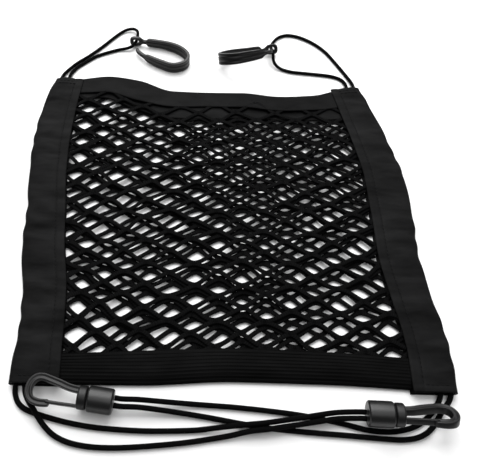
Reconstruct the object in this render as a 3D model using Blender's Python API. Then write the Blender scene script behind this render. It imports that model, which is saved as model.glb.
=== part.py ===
"""Seat back net pocket, laid out flat.

Three layers of black diamond net lie on each other. Each has an elastic band along its mouth. A wide
ribbed elastic band is folded round their bottom edges, and a woven band is folded round each side.
A doubled elastic cord leaves every corner: the top two carry a plastic hook on a loop, and the bottom
two end in a barrel with a gated hook.

Metres, +Z up. The surface is Z = 0, +Y points to the mouth, and the origin is under the panel's middle.
"""

import math

import bmesh
import bpy
import numpy as np
from mathutils import Matrix, Vector
from mathutils.geometry import delaunay_2d_cdt

MM = 0.001

# Cloth: every layer is one sheet thick, and lies one gap from the next.
SHEET = 1.0 * MM
GAP = 0.3 * MM
LAYER = SHEET + GAP
BAND_HEIGHT = 4 * LAYER + SHEET        # two leaves of a band round three nets
TUCK = 9.0 * MM                        # how far nets and bands reach into a side band

# Side bands: puckers run across them, and the bottom ends ride over the bottom band.
SIDE_STATIONS = 41
PUCKER_PITCH = 25.0 * MM
PUCKER_WANDER = 0.30                   # of a pitch
PUCKER_HEIGHT = 1.3 * MM
SCALLOP_DEPTH = 0.9 * MM
RIDE_START = -104.0 * MM
RIDE_END = -114.0 * MM

# Net
NET_STEP_X = 22.6 * MM                 # half a diamond wide
NET_STEP_Y = 12.6 * MM                 # half a diamond high
STRAND = 4.4 * MM
KNOT_CUT = 0.16                        # of a diamond's half width
NET_MARGIN = 2.4 * MM
NET_WARP = 3.0 * MM
NET_SEWN_IN = 11.0 * MM                # from the bottom band's fold to the nets' edge
RIPPLE_HEIGHT = 1.8 * MM
RIPPLE_START = 5.0 * MM                # from the sewn edges
RIPPLE_FADE = 24.0 * MM
MOUTH_LEFT = -134.0 * MM
MOUTH_RIGHT = 114.0 * MM
MOUTH_STATIONS = 17
BOTTOM_STATIONS = 17

# Cords
CORD_RADIUS = 1.75 * MM
LOOP_RADIUS = 1.45 * MM                 # of the hook loops
CORD_SPACING = 9.5 * MM
LOOP_SPACING = 7.0 * MM

# Hooks: the top ones are a ribbon bent in a pear shape, the bottom ones a grooved bar with a gate.
RIBBON = 3.0 * MM
BAR = 4.4 * MM
EDGE_CHAMFER = 0.6 * MM
GROOVE_WIDTH = 1.9 * MM
GROOVE_DEPTH = 0.6 * MM
HOOK_SPACING = 4.8 * MM
EYE_HOLE = 5.4 * MM
BARREL_RADIUS = 8.3 * MM
BARREL_LENGTH = 16.5 * MM
BARREL_CHAMFER = 0.9 * MM
COLLAR_RADIUS = 7.6 * MM
COLLAR_LENGTH = 6.0 * MM
STRAIGHT_IN = 5.0 * MM                 # of a cord before its barrel
CORD_DROP = 1.2 * MM                   # below a barrel's axis
ROUND_STEPS = 24
GATE_THICKNESS = 1.8 * MM
GATE_WIDTH = 4.4 * MM

BLACK_NET = (0.012, 0.012, 0.013)
BLACK_BAND = (0.020, 0.020, 0.021)
BLACK_CORD = (0.014, 0.014, 0.015)
BLACK_PLASTIC = (0.030, 0.030, 0.031)


class Rows:
    """A short table of sizes in millimetres, read in metres as smooth curves through its rows.

    The first column says where a row is. Between rows the curve is a monotone cubic, so it never
    passes the rows' own extremes.
    """

    def __init__(self, names, rows):
        self.names = names.split()
        self.values = np.array(rows, dtype=float) * MM

    def __call__(self, name, at):
        where = self.values[:, 0]
        value = self.values[:, self.names.index(name)]
        step = np.diff(where)
        rise = np.diff(value) / step
        slope = np.concatenate(([rise[0]], np.zeros(len(rise) - 1), [rise[-1]]))
        before, after = rise[:-1], rise[1:]
        climbs = before * after > 0
        slope[1:-1][climbs] = 2 * before[climbs] * after[climbs] / (before + after)[climbs]
        index = np.clip(np.searchsorted(where, at) - 1, 0, len(step) - 1)
        t = (at - where[index]) / step[index]
        left = value[index] * (1 + 2 * t) * (1 - t) ** 2
        left = left + slope[index] * step[index] * t * (1 - t) ** 2
        right = value[index + 1] * t ** 2 * (3 - 2 * t)
        return left + right - slope[index + 1] * step[index] * t ** 2 * (1 - t)


# The side bands' edges, bottom end to top end.
side = Rows("up left_outer left_inner right_inner right_outer", [
    (-142, -141.6, -107.5, 126.5, 157.8),
    (-107, -141.5, -109.5, 127.5, 159.0),
    (-72, -144.5, -112.0, 123.5, 155.3),
    (-37, -151.0, -118.0, 120.0, 152.5),
    (-2, -153.0, -122.0, 120.5, 155.0),
    (33, -157.3, -126.0, 120.5, 155.3),
    (68, -159.0, -127.5, 116.5, 149.6),
    (103, -157.2, -126.5, 110.0, 142.0),
    (138, -150.6, -124.0, 104.0, 132.0),
])
LEFT_WIDEST = 68.0 * MM
RIGHT_WIDEST = -107.0 * MM
# How much lower the inner end of a band's top edge lies, and where the slant sets in.
TOP_DROP = {"left": 0.0, "right": 3.0 * MM}
DROP_START = 108.0 * MM

# The mouth bands' edges, left end to right end: the bands lie slack, each a little out of line.
mouth = Rows("across front_top front_low middle_top middle_low back_top back_low", [
    (-136.0, 136.5, 121.0, 131.0, 113.0, 135.0, 117.0),
    (-104.5, 142.0, 122.5, 135.5, 117.5, 139.5, 121.5),
    (-73.0, 137.5, 113.0, 122.0, 104.0, 134.5, 116.5),
    (-41.5, 126.5, 107.5, 113.5, 95.5, 127.5, 109.0),
    (-10.0, 126.6, 109.3, 113.5, 95.5, 126.8, 108.8),
    (21.5, 126.4, 109.2, 116.0, 98.0, 125.8, 108.0),
    (53.0, 122.8, 105.6, 115.0, 97.0, 121.0, 103.0),
    (84.5, 126.3, 108.6, 116.0, 98.0, 123.5, 105.5),
    (116.0, 137.5, 114.5, 119.0, 101.0, 134.0, 115.0),
])

# The bottom band's sewn edge and fold, left end to right end.
bottom = Rows("across upper fold", [
    (-118.0, -122.0, -141.4),
    (-54.5, -118.0, -140.7),
    (9.0, -115.0, -137.0),
    (72.5, -116.0, -137.5),
    (136.0, -119.5, -140.2),
])

# The bottom band's section, from the sewn edge of its under leaf, round the fold, to that of its upper
# leaf. "from_fold" is a distance in millimetres, or, where it is None, the whole width of the band.
# "reach" is 0 where the band ends at the side bands and 1 where it runs under them.
BOTTOM_SECTION = (
    {"from_fold": None, "height": 0.0, "reach": 0.0},
    {"from_fold": 2.6, "height": 0.0, "reach": 0.0},
    {"from_fold": 0.5, "height": 0.8, "reach": 0.0},
    {"from_fold": 0.0, "height": 2.2, "reach": 0.0},
    {"from_fold": 1.2, "height": 3.8, "reach": 0.35},
    {"from_fold": 4.6, "height": 5.3, "reach": 0.8},
    {"from_fold": 8.6, "height": 6.0, "reach": 1.0},
    {"from_fold": 10.4, "height": 6.2, "reach": 1.0},
    {"from_fold": None, "height": 6.2, "reach": 1.0},
)

# Nets, from the surface up: where the diamonds of each lie, and its share of the ripple.
NETS = (
    {"name": "back", "level": 1, "shift": (3.0, 2.0), "ripple": 0.0},
    {"name": "middle", "level": 2, "shift": (12.0, 7.5), "ripple": 0.3},
    {"name": "front", "level": 3, "shift": (-7.0, -3.5), "ripple": 1.0},
)

# Cord routes, in millimetres, from end to end. Both ends lie between the leaves of a side band.
TOP_LEFT_ROUTE = (
    (-145.3, 133.0, 3.1), (-145.3, 139.6, 3.1), (-143.2, 148.5, 2.2), (-136.6, 159.4, 1.55),
    (-132.4, 164.5, 1.55), (-124.6, 172.4, 1.55), (-118.4, 179.4, 1.55), (-110.4, 189.4, 1.55),
    (-103.8, 198.4, 1.55), (-97.0, 207.0, 1.55), (-90.2, 212.2, 2.2), (-83.6, 212.6, 3.2),
    (-79.3, 207.6, 4.4), (-78.6, 199.8, 5.2), (-79.5, 192.5, 5.3), (-82.6, 186.9, 4.2),
    (-88.4, 184.9, 2.5), (-95.2, 184.0, 1.55), (-102.4, 181.0, 1.55), (-109.6, 177.6, 1.55),
    (-116.2, 173.8, 1.55), (-121.6, 169.0, 1.55), (-129.4, 161.2, 1.55), (-133.6, 156.2, 1.55),
    (-137.4, 148.4, 2.2), (-138.4, 139.6, 3.1), (-138.4, 133.0, 3.1),
)
TOP_RIGHT_ROUTE = (
    (127.0, 133.0, 3.1), (127.0, 139.6, 3.1), (126.3, 147.5, 2.2), (122.4, 158.0, 1.55),
    (114.2, 175.0, 1.55), (106.2, 190.0, 1.55), (97.2, 200.4, 1.55), (88.0, 207.4, 1.55),
    (78.6, 211.8, 1.55), (69.0, 212.8, 1.55), (60.8, 208.8, 1.55), (55.4, 201.6, 1.55),
    (52.6, 193.6, 2.4), (52.2, 186.5, 6.0), (52.4, 181.2, 9.2), (52.6, 175.6, 9.0),
    (53.8, 169.6, 5.0), (59.4, 164.8, 2.0), (69.0, 161.2, 1.55), (79.6, 159.8, 1.55),
    (93.0, 158.6, 1.55), (106.4, 156.9, 1.55), (115.4, 153.6, 1.55), (119.6, 147.4, 2.2),
    (120.3, 139.6, 3.1), (120.3, 133.0, 3.1),
)
# The bottom routes start in their corner. Their last points, straight into a barrel, are worked out.
BOTTOM_LEFT_ROUTE_A = (
    (-136.3, -136.0, 3.75), (-136.3, -142.6, 3.6), (-135.6, -148.6, 2.3), (-132.3, -154.2, 1.8),
    (-126.0, -158.2, 1.8), (-114.0, -161.8, 1.8), (-97.0, -165.6, 1.8), (-79.0, -168.0, 1.8),
    (-55.0, -169.2, 1.8), (-36.0, -169.0, 1.8), (-18.0, -168.2, 2.0), (-6.0, -167.0, 3.5),
    (4.0, -166.0, 5.4), (17.0, -164.6, 5.8), (28.0, -163.4, 5.8), (39.5, -161.6, 5.8),
    (49.5, -160.0, 5.8), (62.5, -157.8, 6.0), (74.0, -156.2, 6.5),
)
BOTTOM_LEFT_ROUTE_B = (
    (-130.2, -136.0, 3.75), (-130.2, -142.6, 3.7), (-128.9, -147.6, 4.2), (-126.0, -152.6, 5.3),
    (-122.2, -157.4, 6.0), (-118.4, -162.4, 5.8), (-113.6, -168.0, 3.4), (-107.0, -173.2, 2.0),
    (-98.0, -177.0, 1.8), (-86.0, -179.2, 1.8), (-72.0, -179.8, 1.8), (-54.0, -178.9, 1.8),
    (-27.0, -176.2, 1.8), (-6.0, -173.0, 1.9), (6.0, -170.9, 3.0), (17.0, -168.7, 5.2),
    (28.0, -167.4, 5.8), (39.5, -165.6, 5.8), (49.5, -164.0, 5.8), (62.5, -161.8, 6.0),
    (74.0, -160.1, 6.5),
)
BOTTOM_RIGHT_ROUTE_A = (
    (152.3, -136.0, 3.75), (152.3, -142.6, 3.6), (150.0, -147.4, 2.3), (146.2, -151.4, 1.8),
    (142.2, -156.4, 1.8), (138.0, -161.6, 1.8), (132.2, -166.6, 1.8), (125.0, -169.9, 1.8),
    (116.0, -171.3, 1.8), (106.0, -171.1, 1.8), (94.5, -170.4, 1.8), (78.5, -169.3, 1.8),
    (62.0, -168.4, 1.8), (49.5, -167.6, 1.8), (36.7, -166.6, 1.8), (25.0, -165.5, 1.8),
    (11.0, -163.4, 1.8), (-2.0, -161.3, 1.8), (-14.0, -159.5, 2.0), (-28.0, -157.8, 3.0),
    (-44.0, -156.4, 5.2), (-55.0, -155.7, 6.8),
)
BOTTOM_RIGHT_ROUTE_B = (
    (145.3, -136.0, 3.75), (145.3, -142.6, 3.6), (143.4, -147.4, 2.2), (139.2, -152.6, 1.8),
    (134.0, -157.4, 1.8), (128.0, -161.4, 1.8), (121.0, -164.3, 1.8), (111.0, -166.4, 1.8),
    (101.4, -166.6, 1.8), (93.7, -165.8, 1.8), (86.8, -164.3, 1.8), (79.3, -162.5, 1.8),
    (69.8, -160.6, 1.8), (60.0, -158.9, 1.8), (50.0, -157.3, 1.8), (32.0, -155.3, 1.8),
    (8.0, -153.3, 1.8), (-12.0, -152.3, 2.0), (-28.0, -151.7, 3.2), (-44.0, -151.2, 5.4),
    (-55.0, -150.9, 6.9),
)

# A hook's centreline in its own plane, in millimetres: along from the eye or the collar, across from the
# axis, and half the ribbon's width.
TOP_HOOK_LINE = (
    (-6.0, 0.0, 4.6), (0.0, 0.0, 4.8), (3.6, 0.2, 4.4), (7.0, 0.6, 1.9), (10.0, 1.2, 1.9),
    (12.6, 1.7, 4.2), (24.0, 3.5, 4.4), (33.0, 6.0, 4.8), (40.5, 9.5, 5.1), (46.7, 14.5, 5.2),
    (50.8, 21.0, 5.2), (50.2, 27.8, 5.2), (45.0, 33.0, 5.1), (36.0, 35.0, 5.0), (26.0, 31.2, 4.8),
    (17.0, 26.4, 4.4), (12.4, 23.6, 3.8), (9.0, 21.0, 1.9), (3.4, 15.4, 1.5), (1.2, 10.8, 1.3),
)
BOTTOM_HOOK_LINE = (
    (-2.5, 4.2, 2.4), (2.0, 4.5, 2.4), (7.0, 5.1, 2.5), (13.0, 6.7, 2.7), (19.0, 8.1, 2.7),
    (24.0, 9.1, 2.7), (27.6, 8.6, 2.7), (30.4, 6.2, 2.7), (31.8, 2.2, 2.7), (31.2, -2.4, 2.6),
    (28.6, -5.8, 2.5), (24.4, -7.0, 2.3), (20.4, -6.9, 2.1), (17.0, -6.4, 1.9),
)
GATE_ENDS = ((-2.0, -5.8), (20.6, -6.0))

# A ribbon's section, as its corners in order: across the ribbon, the share of half its width, and a trim.
RIBBON_SECTION = (
    (RIBBON / 2, -1, EDGE_CHAMFER), (RIBBON / 2, 1, -EDGE_CHAMFER),
    (RIBBON / 2 - EDGE_CHAMFER, 1, 0.0), (EDGE_CHAMFER - RIBBON / 2, 1, 0.0),
    (-RIBBON / 2, 1, -EDGE_CHAMFER), (-RIBBON / 2, -1, EDGE_CHAMFER),
    (EDGE_CHAMFER - RIBBON / 2, -1, 0.0), (RIBBON / 2 - EDGE_CHAMFER, -1, 0.0),
)
# The bar has a groove along both of its narrow sides.
BAR_SECTION = (
    (BAR / 2, -1, EDGE_CHAMFER), (BAR / 2, 1, -EDGE_CHAMFER), (BAR / 2 - EDGE_CHAMFER, 1, 0.0),
    (GROOVE_WIDTH / 2, 1, 0.0), (0.0, 1, -GROOVE_DEPTH), (-GROOVE_WIDTH / 2, 1, 0.0),
    (EDGE_CHAMFER - BAR / 2, 1, 0.0), (-BAR / 2, 1, -EDGE_CHAMFER), (-BAR / 2, -1, EDGE_CHAMFER),
    (EDGE_CHAMFER - BAR / 2, -1, 0.0), (-GROOVE_WIDTH / 2, -1, 0.0), (0.0, -1, GROOVE_DEPTH),
    (GROOVE_WIDTH / 2, -1, 0.0), (BAR / 2 - EDGE_CHAMFER, -1, 0.0),
)


def finish(name, colour, roughness):
    """One plain material for a sub-part."""
    material = bpy.data.materials.new(name)
    material.use_nodes = True
    shader = material.node_tree.nodes["Principled BSDF"]
    shader.inputs["Base Color"].default_value = (*colour, 1.0)
    shader.inputs["Roughness"].default_value = roughness
    shader.inputs["Metallic"].default_value = 0.0
    return material


def add_object(name, data, material):
    data.materials.append(material)
    thing = bpy.data.objects.new(name, data)
    bpy.context.scene.collection.objects.link(thing)
    return thing


def eased(t):
    """0 to 1 with level ends."""
    t = np.clip(t, 0.0, 1.0)
    return t * t * (3 - 2 * t)


def add_sheet(name, mesh, material, offset):
    """Give an open surface the thickness of the cloth."""
    thing = add_object(name, mesh, material)
    thickness = thing.modifiers.new("Cloth", "SOLIDIFY")
    thickness.thickness = SHEET
    thickness.offset = offset
    return thing


def grid_mesh(name, grid):
    """Quads over a grid of points, rows by columns, facing row direction x column direction."""
    rows, columns, _ = grid.shape
    index = np.arange(rows * columns).reshape(rows, columns)
    quads = np.stack([index[:-1, :-1], index[1:, :-1], index[1:, 1:], index[:-1, 1:]], axis=-1)
    mesh = bpy.data.meshes.new(name)
    mesh.from_pydata(grid.reshape(-1, 3).tolist(), [], quads.reshape(-1, 4).tolist())
    return mesh


# Side bands

def pucker_phase(up, widest):
    """Puckers passed between the widest place, where a crest begins, and this height."""
    turns = (up - widest) / PUCKER_PITCH
    return turns + PUCKER_WANDER * np.sin(turns * 1.9)


def add_side_band(name, hand, widest, material):
    """A folded strip: under leaf, round outer fold and puckered upper leaf, open at both ends.

    hand is -1 for the left band and 1 for the right one.
    """
    label = "left" if hand < 0 else "right"
    up = np.linspace(side.values[0, 0], side.values[-1, 0], SIDE_STATIONS)
    crest = 0.5 - 0.5 * np.cos(2 * math.pi * pucker_phase(up, widest))
    outer = side(label + "_outer", up) - hand * SCALLOP_DEPTH * crest
    inner = side(label + "_inner", up)
    height = BAND_HEIGHT + LAYER * eased((RIDE_START - up) / (RIDE_START - RIDE_END))
    radius = height / 2
    axis = outer - hand * radius
    calm = eased((up - RIDE_END) / (2 * (RIDE_START - RIDE_END)))
    swell = PUCKER_HEIGHT * (0.25 + 0.75 * calm) * crest
    columns = [(inner, np.zeros_like(up), 1.0)]
    for degrees in (-90, -45, 0, 45, 90):
        angle = math.radians(degrees)
        columns.append((axis + hand * radius * math.cos(angle), radius + radius * math.sin(angle), 0.0))
    columns.append((axis + (inner - axis) * 0.32, height + swell, 0.32))
    columns.append((axis + (inner - axis) * 0.66, height + swell * 0.7, 0.66))
    columns.append((inner, height, 1.0))
    drop = TOP_DROP[label] * eased((up - DROP_START) / (side.values[-1, 0] - DROP_START))
    grid = np.stack([np.stack([x, up - drop * share, z], axis=-1) for x, z, share in columns], axis=1)
    if hand < 0:
        grid = grid[:, ::-1]
    return add_sheet(name, grid_mesh(name, grid), material, -1)


# Mouth bands and nets

def ripple(x, y):
    """Height of the loose waves in the upper layers, none at the sewn edges."""
    from_sides = np.minimum(x - side("left_inner", y), side("right_inner", y) - x)
    from_bottom = y - bottom("upper", x)
    free = eased((from_sides - RIPPLE_START) / RIPPLE_FADE)
    free = free * eased((from_bottom - RIPPLE_START) / RIPPLE_FADE)
    wave = 0.5 - 0.5 * np.cos(2 * math.pi * (x * 8.1 + 1.3 * np.sin(9.0 * y)))
    cross = 0.5 - 0.5 * np.cos(2 * math.pi * (y * 6.3 + 0.12 - 1.1 * np.sin(7.0 * x)))
    return RIPPLE_HEIGHT * free * (0.55 * wave + 0.45 * cross)


def layer_height(layer, x, y):
    return layer["level"] * LAYER + layer["ripple"] * ripple(x, y)


def add_mouth_band(layer, material):
    """A flat elastic strip along the mouth of one net."""
    across = np.linspace(MOUTH_LEFT, MOUTH_RIGHT, MOUTH_STATIONS)
    low = mouth(layer["name"] + "_low", across)
    top = mouth(layer["name"] + "_top", across)
    columns = []
    for share in (0.0, 0.5, 1.0):
        y = low + (top - low) * share
        columns.append(np.stack([across, y, layer_height(layer, across, low)], axis=-1))
    name = layer["name"] + "_top_band"
    return add_sheet(name, grid_mesh(name, np.stack(columns, axis=1)), material, 1)


def net_outline(layer):
    """The cut edge of a net, anticlockwise: bottom, right side, mouth, left side."""
    right_up = np.linspace(-110.0, 100.0, 11) * MM
    left_x = side("left_inner", np.array([RIDE_END]))[0] - TUCK
    right_x = side("right_inner", np.array([RIDE_END]))[0] + TUCK
    along = np.linspace(left_x, right_x, 13)
    edge = list(zip(along, bottom("fold", along) + NET_SEWN_IN))
    edge += list(zip(side("right_inner", right_up) + TUCK, right_up))
    across = np.linspace(MOUTH_RIGHT, MOUTH_LEFT, MOUTH_STATIONS)
    edge += list(zip(across, mouth(layer["name"] + "_low", across) - GAP))
    left_up = right_up[::-1]
    edge += list(zip(side("left_inner", left_up) - TUCK, left_up))
    return np.array(edge)


def net_holes(layer):
    """Diamond gaps with cut side corners, on a lattice that wanders a little.

    Centres are (i * step x, j * step y) for even i + j. A gap is its diamond, smaller by half a strand
    all round.
    """
    diagonal = math.hypot(NET_STEP_X, NET_STEP_Y)
    inset = NET_STEP_X * NET_STEP_Y / diagonal
    scale = 1 - STRAND / 2 / inset
    half_x = NET_STEP_X * scale
    half_y = NET_STEP_Y * scale
    corners = np.array([
        (half_x * (1 - KNOT_CUT), half_y * KNOT_CUT), (0.0, half_y),
        (-half_x * (1 - KNOT_CUT), half_y * KNOT_CUT), (-half_x * (1 - KNOT_CUT), -half_y * KNOT_CUT),
        (0.0, -half_y), (half_x * (1 - KNOT_CUT), -half_y * KNOT_CUT),
    ])
    holes = []
    for j in range(-11, 12):
        for i in range(-8, 9):
            if (i + j) % 2:
                continue
            centre = np.array([i * NET_STEP_X, j * NET_STEP_Y]) + np.array(layer["shift"]) * MM
            hole = corners + centre
            sway = NET_WARP * np.sin(hole[:, 1] * 22.0 + layer["level"])
            lift = NET_WARP * np.sin(hole[:, 0] * 17.0 + 2 * layer["level"])
            hole = hole + np.stack([sway, lift], axis=-1)
            if hole_fits(layer, hole):
                holes.append(hole)
    return holes


def hole_fits(layer, hole):
    """True for a gap that shows and that keeps its margin from the net's cut edge."""
    x, y = hole[:, 0], hole[:, 1]
    reach = TUCK - NET_MARGIN
    inside = np.all(x > side("left_inner", y) - reach) and np.all(x < side("right_inner", y) + reach)
    inside = inside and np.all(y > bottom("fold", x) + NET_SEWN_IN + NET_MARGIN)
    inside = inside and np.all(y < mouth(layer["name"] + "_low", x) - NET_MARGIN)
    middle = hole.mean(axis=0)[None, :]
    shows = middle[0, 0] > side("left_inner", middle[:, 1])[0] - NET_MARGIN
    shows = shows and middle[0, 0] < side("right_inner", middle[:, 1])[0] + NET_MARGIN
    return inside and shows and middle[0, 1] > bottom("upper", middle[:, 0])[0] - NET_MARGIN


def crossings(point, loops):
    """How many edges of the loops lie straight to the right of a point."""
    count = 0
    for loop in loops:
        start, end = loop, np.roll(loop, -1, axis=0)
        spans = (start[:, 1] > point[1]) != (end[:, 1] > point[1])
        start, end = start[spans], end[spans]
        share = (point[1] - start[:, 1]) / (end[:, 1] - start[:, 1])
        count += int(np.sum(start[:, 0] + share * (end[:, 0] - start[:, 0]) > point[0]))
    return count


def add_net(layer, material):
    """A sheet cut through at every gap: triangles inside the outline and outside the gaps."""
    loops = [net_outline(layer)] + net_holes(layer)
    points = np.concatenate(loops)
    edges = []
    first = 0
    for loop in loops:
        numbers = list(range(first, first + len(loop)))
        edges += list(zip(numbers, numbers[1:] + numbers[:1]))
        first += len(loop)
    found = delaunay_2d_cdt([Vector(p) for p in points], edges, [], 0, 1e-7)
    flat = np.array([tuple(v) for v in found[0]])
    faces = [f for f in found[2] if crossings(flat[list(f)].mean(axis=0), loops) % 2]
    height = layer_height(layer, flat[:, 0], flat[:, 1])
    name = layer["name"] + "_net"
    mesh = bpy.data.meshes.new(name)
    mesh.from_pydata(np.column_stack([flat, height]).tolist(), [], faces)
    return add_sheet(name, mesh, material, 1)


# Bottom band

def add_bottom_band(material):
    """One strip folded round the nets' bottom edges. Its front rolls down to the surface."""
    u = np.linspace(0.0, 1.0, BOTTOM_STATIONS)
    columns = []
    for point in BOTTOM_SECTION:
        widen = point["reach"] * TUCK - (1 - point["reach"]) * 3 * GAP
        up = bottom("upper" if point["from_fold"] is None else "fold", bottom.values[[0, -1], 0])
        low_end = side("left_inner", up)[0] - widen
        high_end = side("right_inner", up)[1] + widen
        across = low_end + (high_end - low_end) * u
        fold = bottom("fold", across)
        y = bottom("upper", across) if point["from_fold"] is None else fold + point["from_fold"] * MM
        columns.append(np.stack([across, y, np.full_like(u, point["height"] * MM)], axis=-1))
    return add_sheet("bottom_band", grid_mesh("bottom_band", np.stack(columns, axis=1)), material, -1)


# Cords

def smooth_line(route, spacing):
    """Points a spacing apart on a Catmull-Rom curve through the route's points."""
    route = np.array(route, dtype=float)
    padded = np.concatenate([2 * route[:1] - route[1:2], route, 2 * route[-1:] - route[-2:-1]])
    t = np.linspace(0.0, 1.0, 24, endpoint=False)[:, None]
    pieces = []
    for a, b, c, d in zip(padded, padded[1:], padded[2:], padded[3:]):
        cubic = -a + 3 * b - 3 * c + d
        square = 2 * a - 5 * b + 4 * c - d
        pieces.append(0.5 * (2 * b + (c - a) * t + square * t ** 2 + cubic * t ** 3))
    line = np.concatenate(pieces + [route[-1:]])
    length = np.concatenate([[0.0], np.cumsum(np.linalg.norm(np.diff(line, axis=0), axis=1))])
    count = int(round(length[-1] / spacing)) + 1
    even = np.linspace(0.0, length[-1], count)
    return np.stack([np.interp(even, length, line[:, k]) for k in range(3)], axis=-1)


def add_cord(name, route, spacing, radius, material):
    line = smooth_line(np.array(route), spacing)
    curve = bpy.data.curves.new(name, "CURVE")
    curve.dimensions = "3D"
    curve.bevel_depth = radius
    curve.bevel_resolution = 2
    curve.use_fill_caps = True
    spline = curve.splines.new("POLY")
    spline.points.add(len(line) - 1)
    for point, place in zip(spline.points, line):
        point.co = (*place, 1.0)
    return add_object(name, curve, material)


# Hooks

def pose(origin, heading, pitch, roll):
    """Where a hook lies: its axis turned to a heading, raised by a pitch and rolled about itself."""
    turn = Matrix.Rotation(math.radians(heading), 4, "Z")
    turn = turn @ Matrix.Rotation(math.radians(-pitch), 4, "Y")
    turn = turn @ Matrix.Rotation(math.radians(roll), 4, "X")
    return Matrix.Translation(Vector(origin)) @ turn


TOP_LEFT_POSE = pose((-79.5 * MM, 192.5 * MM, 5.3 * MM), 0.0, 0.0, 180.0)
TOP_RIGHT_POSE = pose((52.2 * MM, 186.5 * MM, 6.0 * MM), 184.0, -7.0, 34.0)
BOTTOM_LEFT_POSE = pose((-70.8 * MM, -153.4 * MM, 8.6 * MM), 173.5, 3.4, 180.0)
BOTTOM_RIGHT_POSE = pose((92.6 * MM, -156.8 * MM, 8.6 * MM), -3.0, 6.2, -42.0)


def ribbon_mesh(name, line, section):
    """A bent ribbon of one section, its width square to the plane of its bends."""
    rows = smooth_line(np.array(line) * MM, HOOK_SPACING)
    centre = rows[:, :2]
    half = rows[:, 2]
    tangent = np.gradient(centre, axis=0)
    tangent /= np.linalg.norm(tangent, axis=1)[:, None]
    normal = np.stack([-tangent[:, 1], tangent[:, 0]], axis=-1)
    build = bmesh.new()
    rings = []
    for place, side_way, width in zip(centre, normal, half):
        ring = []
        for across, share, trim in section:
            flat = place + side_way * across
            ring.append(build.verts.new((flat[0], flat[1], share * width + trim)))
        rings.append(ring)
    for near, far in zip(rings, rings[1:]):
        for k in range(len(section)):
            after = (k + 1) % len(section)
            build.faces.new((near[k], near[after], far[after], far[k]))
    build.faces.new(rings[0][::-1])
    build.faces.new(rings[-1])
    bmesh.ops.recalc_face_normals(build, faces=build.faces)
    mesh = bpy.data.meshes.new(name)
    build.to_mesh(mesh)
    build.free()
    return mesh


def rod_mesh(name, radius, start, end, chamfer):
    """A round rod along X with chamfered rims."""
    profile = ((start, 0.0), (start, radius - chamfer), (start + chamfer, radius),
               (end - chamfer, radius), (end, radius - chamfer), (end, 0.0))
    build = bmesh.new()
    verts = [build.verts.new((x, 0.0, r)) for x, r in profile]
    edges = [build.edges.new(pair) for pair in zip(verts, verts[1:])]
    bmesh.ops.spin(build, geom=verts + edges, cent=(0, 0, 0), axis=(1, 0, 0), angle=2 * math.pi,
                   steps=ROUND_STEPS, use_merge=True, use_duplicate=False)
    bmesh.ops.remove_doubles(build, verts=build.verts, dist=1e-6)
    bmesh.ops.recalc_face_normals(build, faces=build.faces)
    mesh = bpy.data.meshes.new(name)
    build.to_mesh(mesh)
    build.free()
    return mesh


def guide(name, mesh, place, material):
    """A shape that only cuts or joins others."""
    shape = add_object(name, mesh, material)
    shape.matrix_world = place
    shape.hide_render = True
    shape.display_type = "WIRE"
    return shape


def combine(thing, other, operation):
    step = thing.modifiers.new(other.name, "BOOLEAN")
    step.operation = operation
    step.solver = "EXACT"
    step.object = other


def add_top_hook(name, place, material):
    """A bent ribbon whose flat end has a hole for the cord."""
    hook = add_object(name, ribbon_mesh(name, TOP_HOOK_LINE, RIBBON_SECTION), material)
    hook.matrix_world = place
    hole = rod_mesh(name + ".hole", EYE_HOLE / 2, -3 * RIBBON, 3 * RIBBON, 0.1 * MM)
    turn = place @ Matrix.Rotation(math.radians(90), 4, "Z")
    combine(hook, guide(name + ".hole", hole, turn, material), "DIFFERENCE")
    return hook


def add_bottom_hook(name, place, material):
    """A collar with a bent bar, and a thin gate from the collar to the bar's tip."""
    collar_start = BARREL_LENGTH + GAP
    collar_end = collar_start + COLLAR_LENGTH
    root = place @ Matrix.Translation((collar_end, 0, 0))
    hook = add_object(name, rod_mesh(name, COLLAR_RADIUS, collar_start, collar_end, 0.8 * MM), material)
    hook.matrix_world = place
    bar = ribbon_mesh(name + ".bar", BOTTOM_HOOK_LINE, BAR_SECTION)
    combine(hook, guide(name + ".bar", bar, root, material), "UNION")
    start = Vector((*GATE_ENDS[0], 0.0)) * MM
    end = Vector((*GATE_ENDS[1], 0.0)) * MM
    gate = bpy.data.meshes.new(name + ".gate")
    build = bmesh.new()
    bmesh.ops.create_cube(build, size=1.0)
    bmesh.ops.scale(build, verts=build.verts, vec=((end - start).length, GATE_THICKNESS, GATE_WIDTH))
    build.to_mesh(gate)
    build.free()
    heading = math.atan2(end.y - start.y, end.x - start.x)
    lie = root @ Matrix.Translation((start + end) / 2) @ Matrix.Rotation(heading, 4, "Z")
    combine(hook, guide(name + ".gate", gate, lie, material), "UNION")
    return hook


def add_barrel(name, place, material):
    barrel = add_object(name, rod_mesh(name, BARREL_RADIUS, 0.0, BARREL_LENGTH, BARREL_CHAMFER), material)
    barrel.matrix_world = place
    return barrel


def barrel_route(route, place, offset):
    """A cord's route in metres, with its last two points straight into a barrel's face."""
    points = [Vector(point) * MM for point in route]
    inward = place.to_3x3() @ Vector((1, 0, 0))
    aside = Vector((0, 0, 1)).cross(inward).normalized()
    above = inward.cross(aside)
    face = place.translation + aside * offset - above * CORD_DROP - inward * GAP
    return [tuple(point) for point in points] + [tuple(face - inward * STRAIGHT_IN), tuple(face)]


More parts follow.
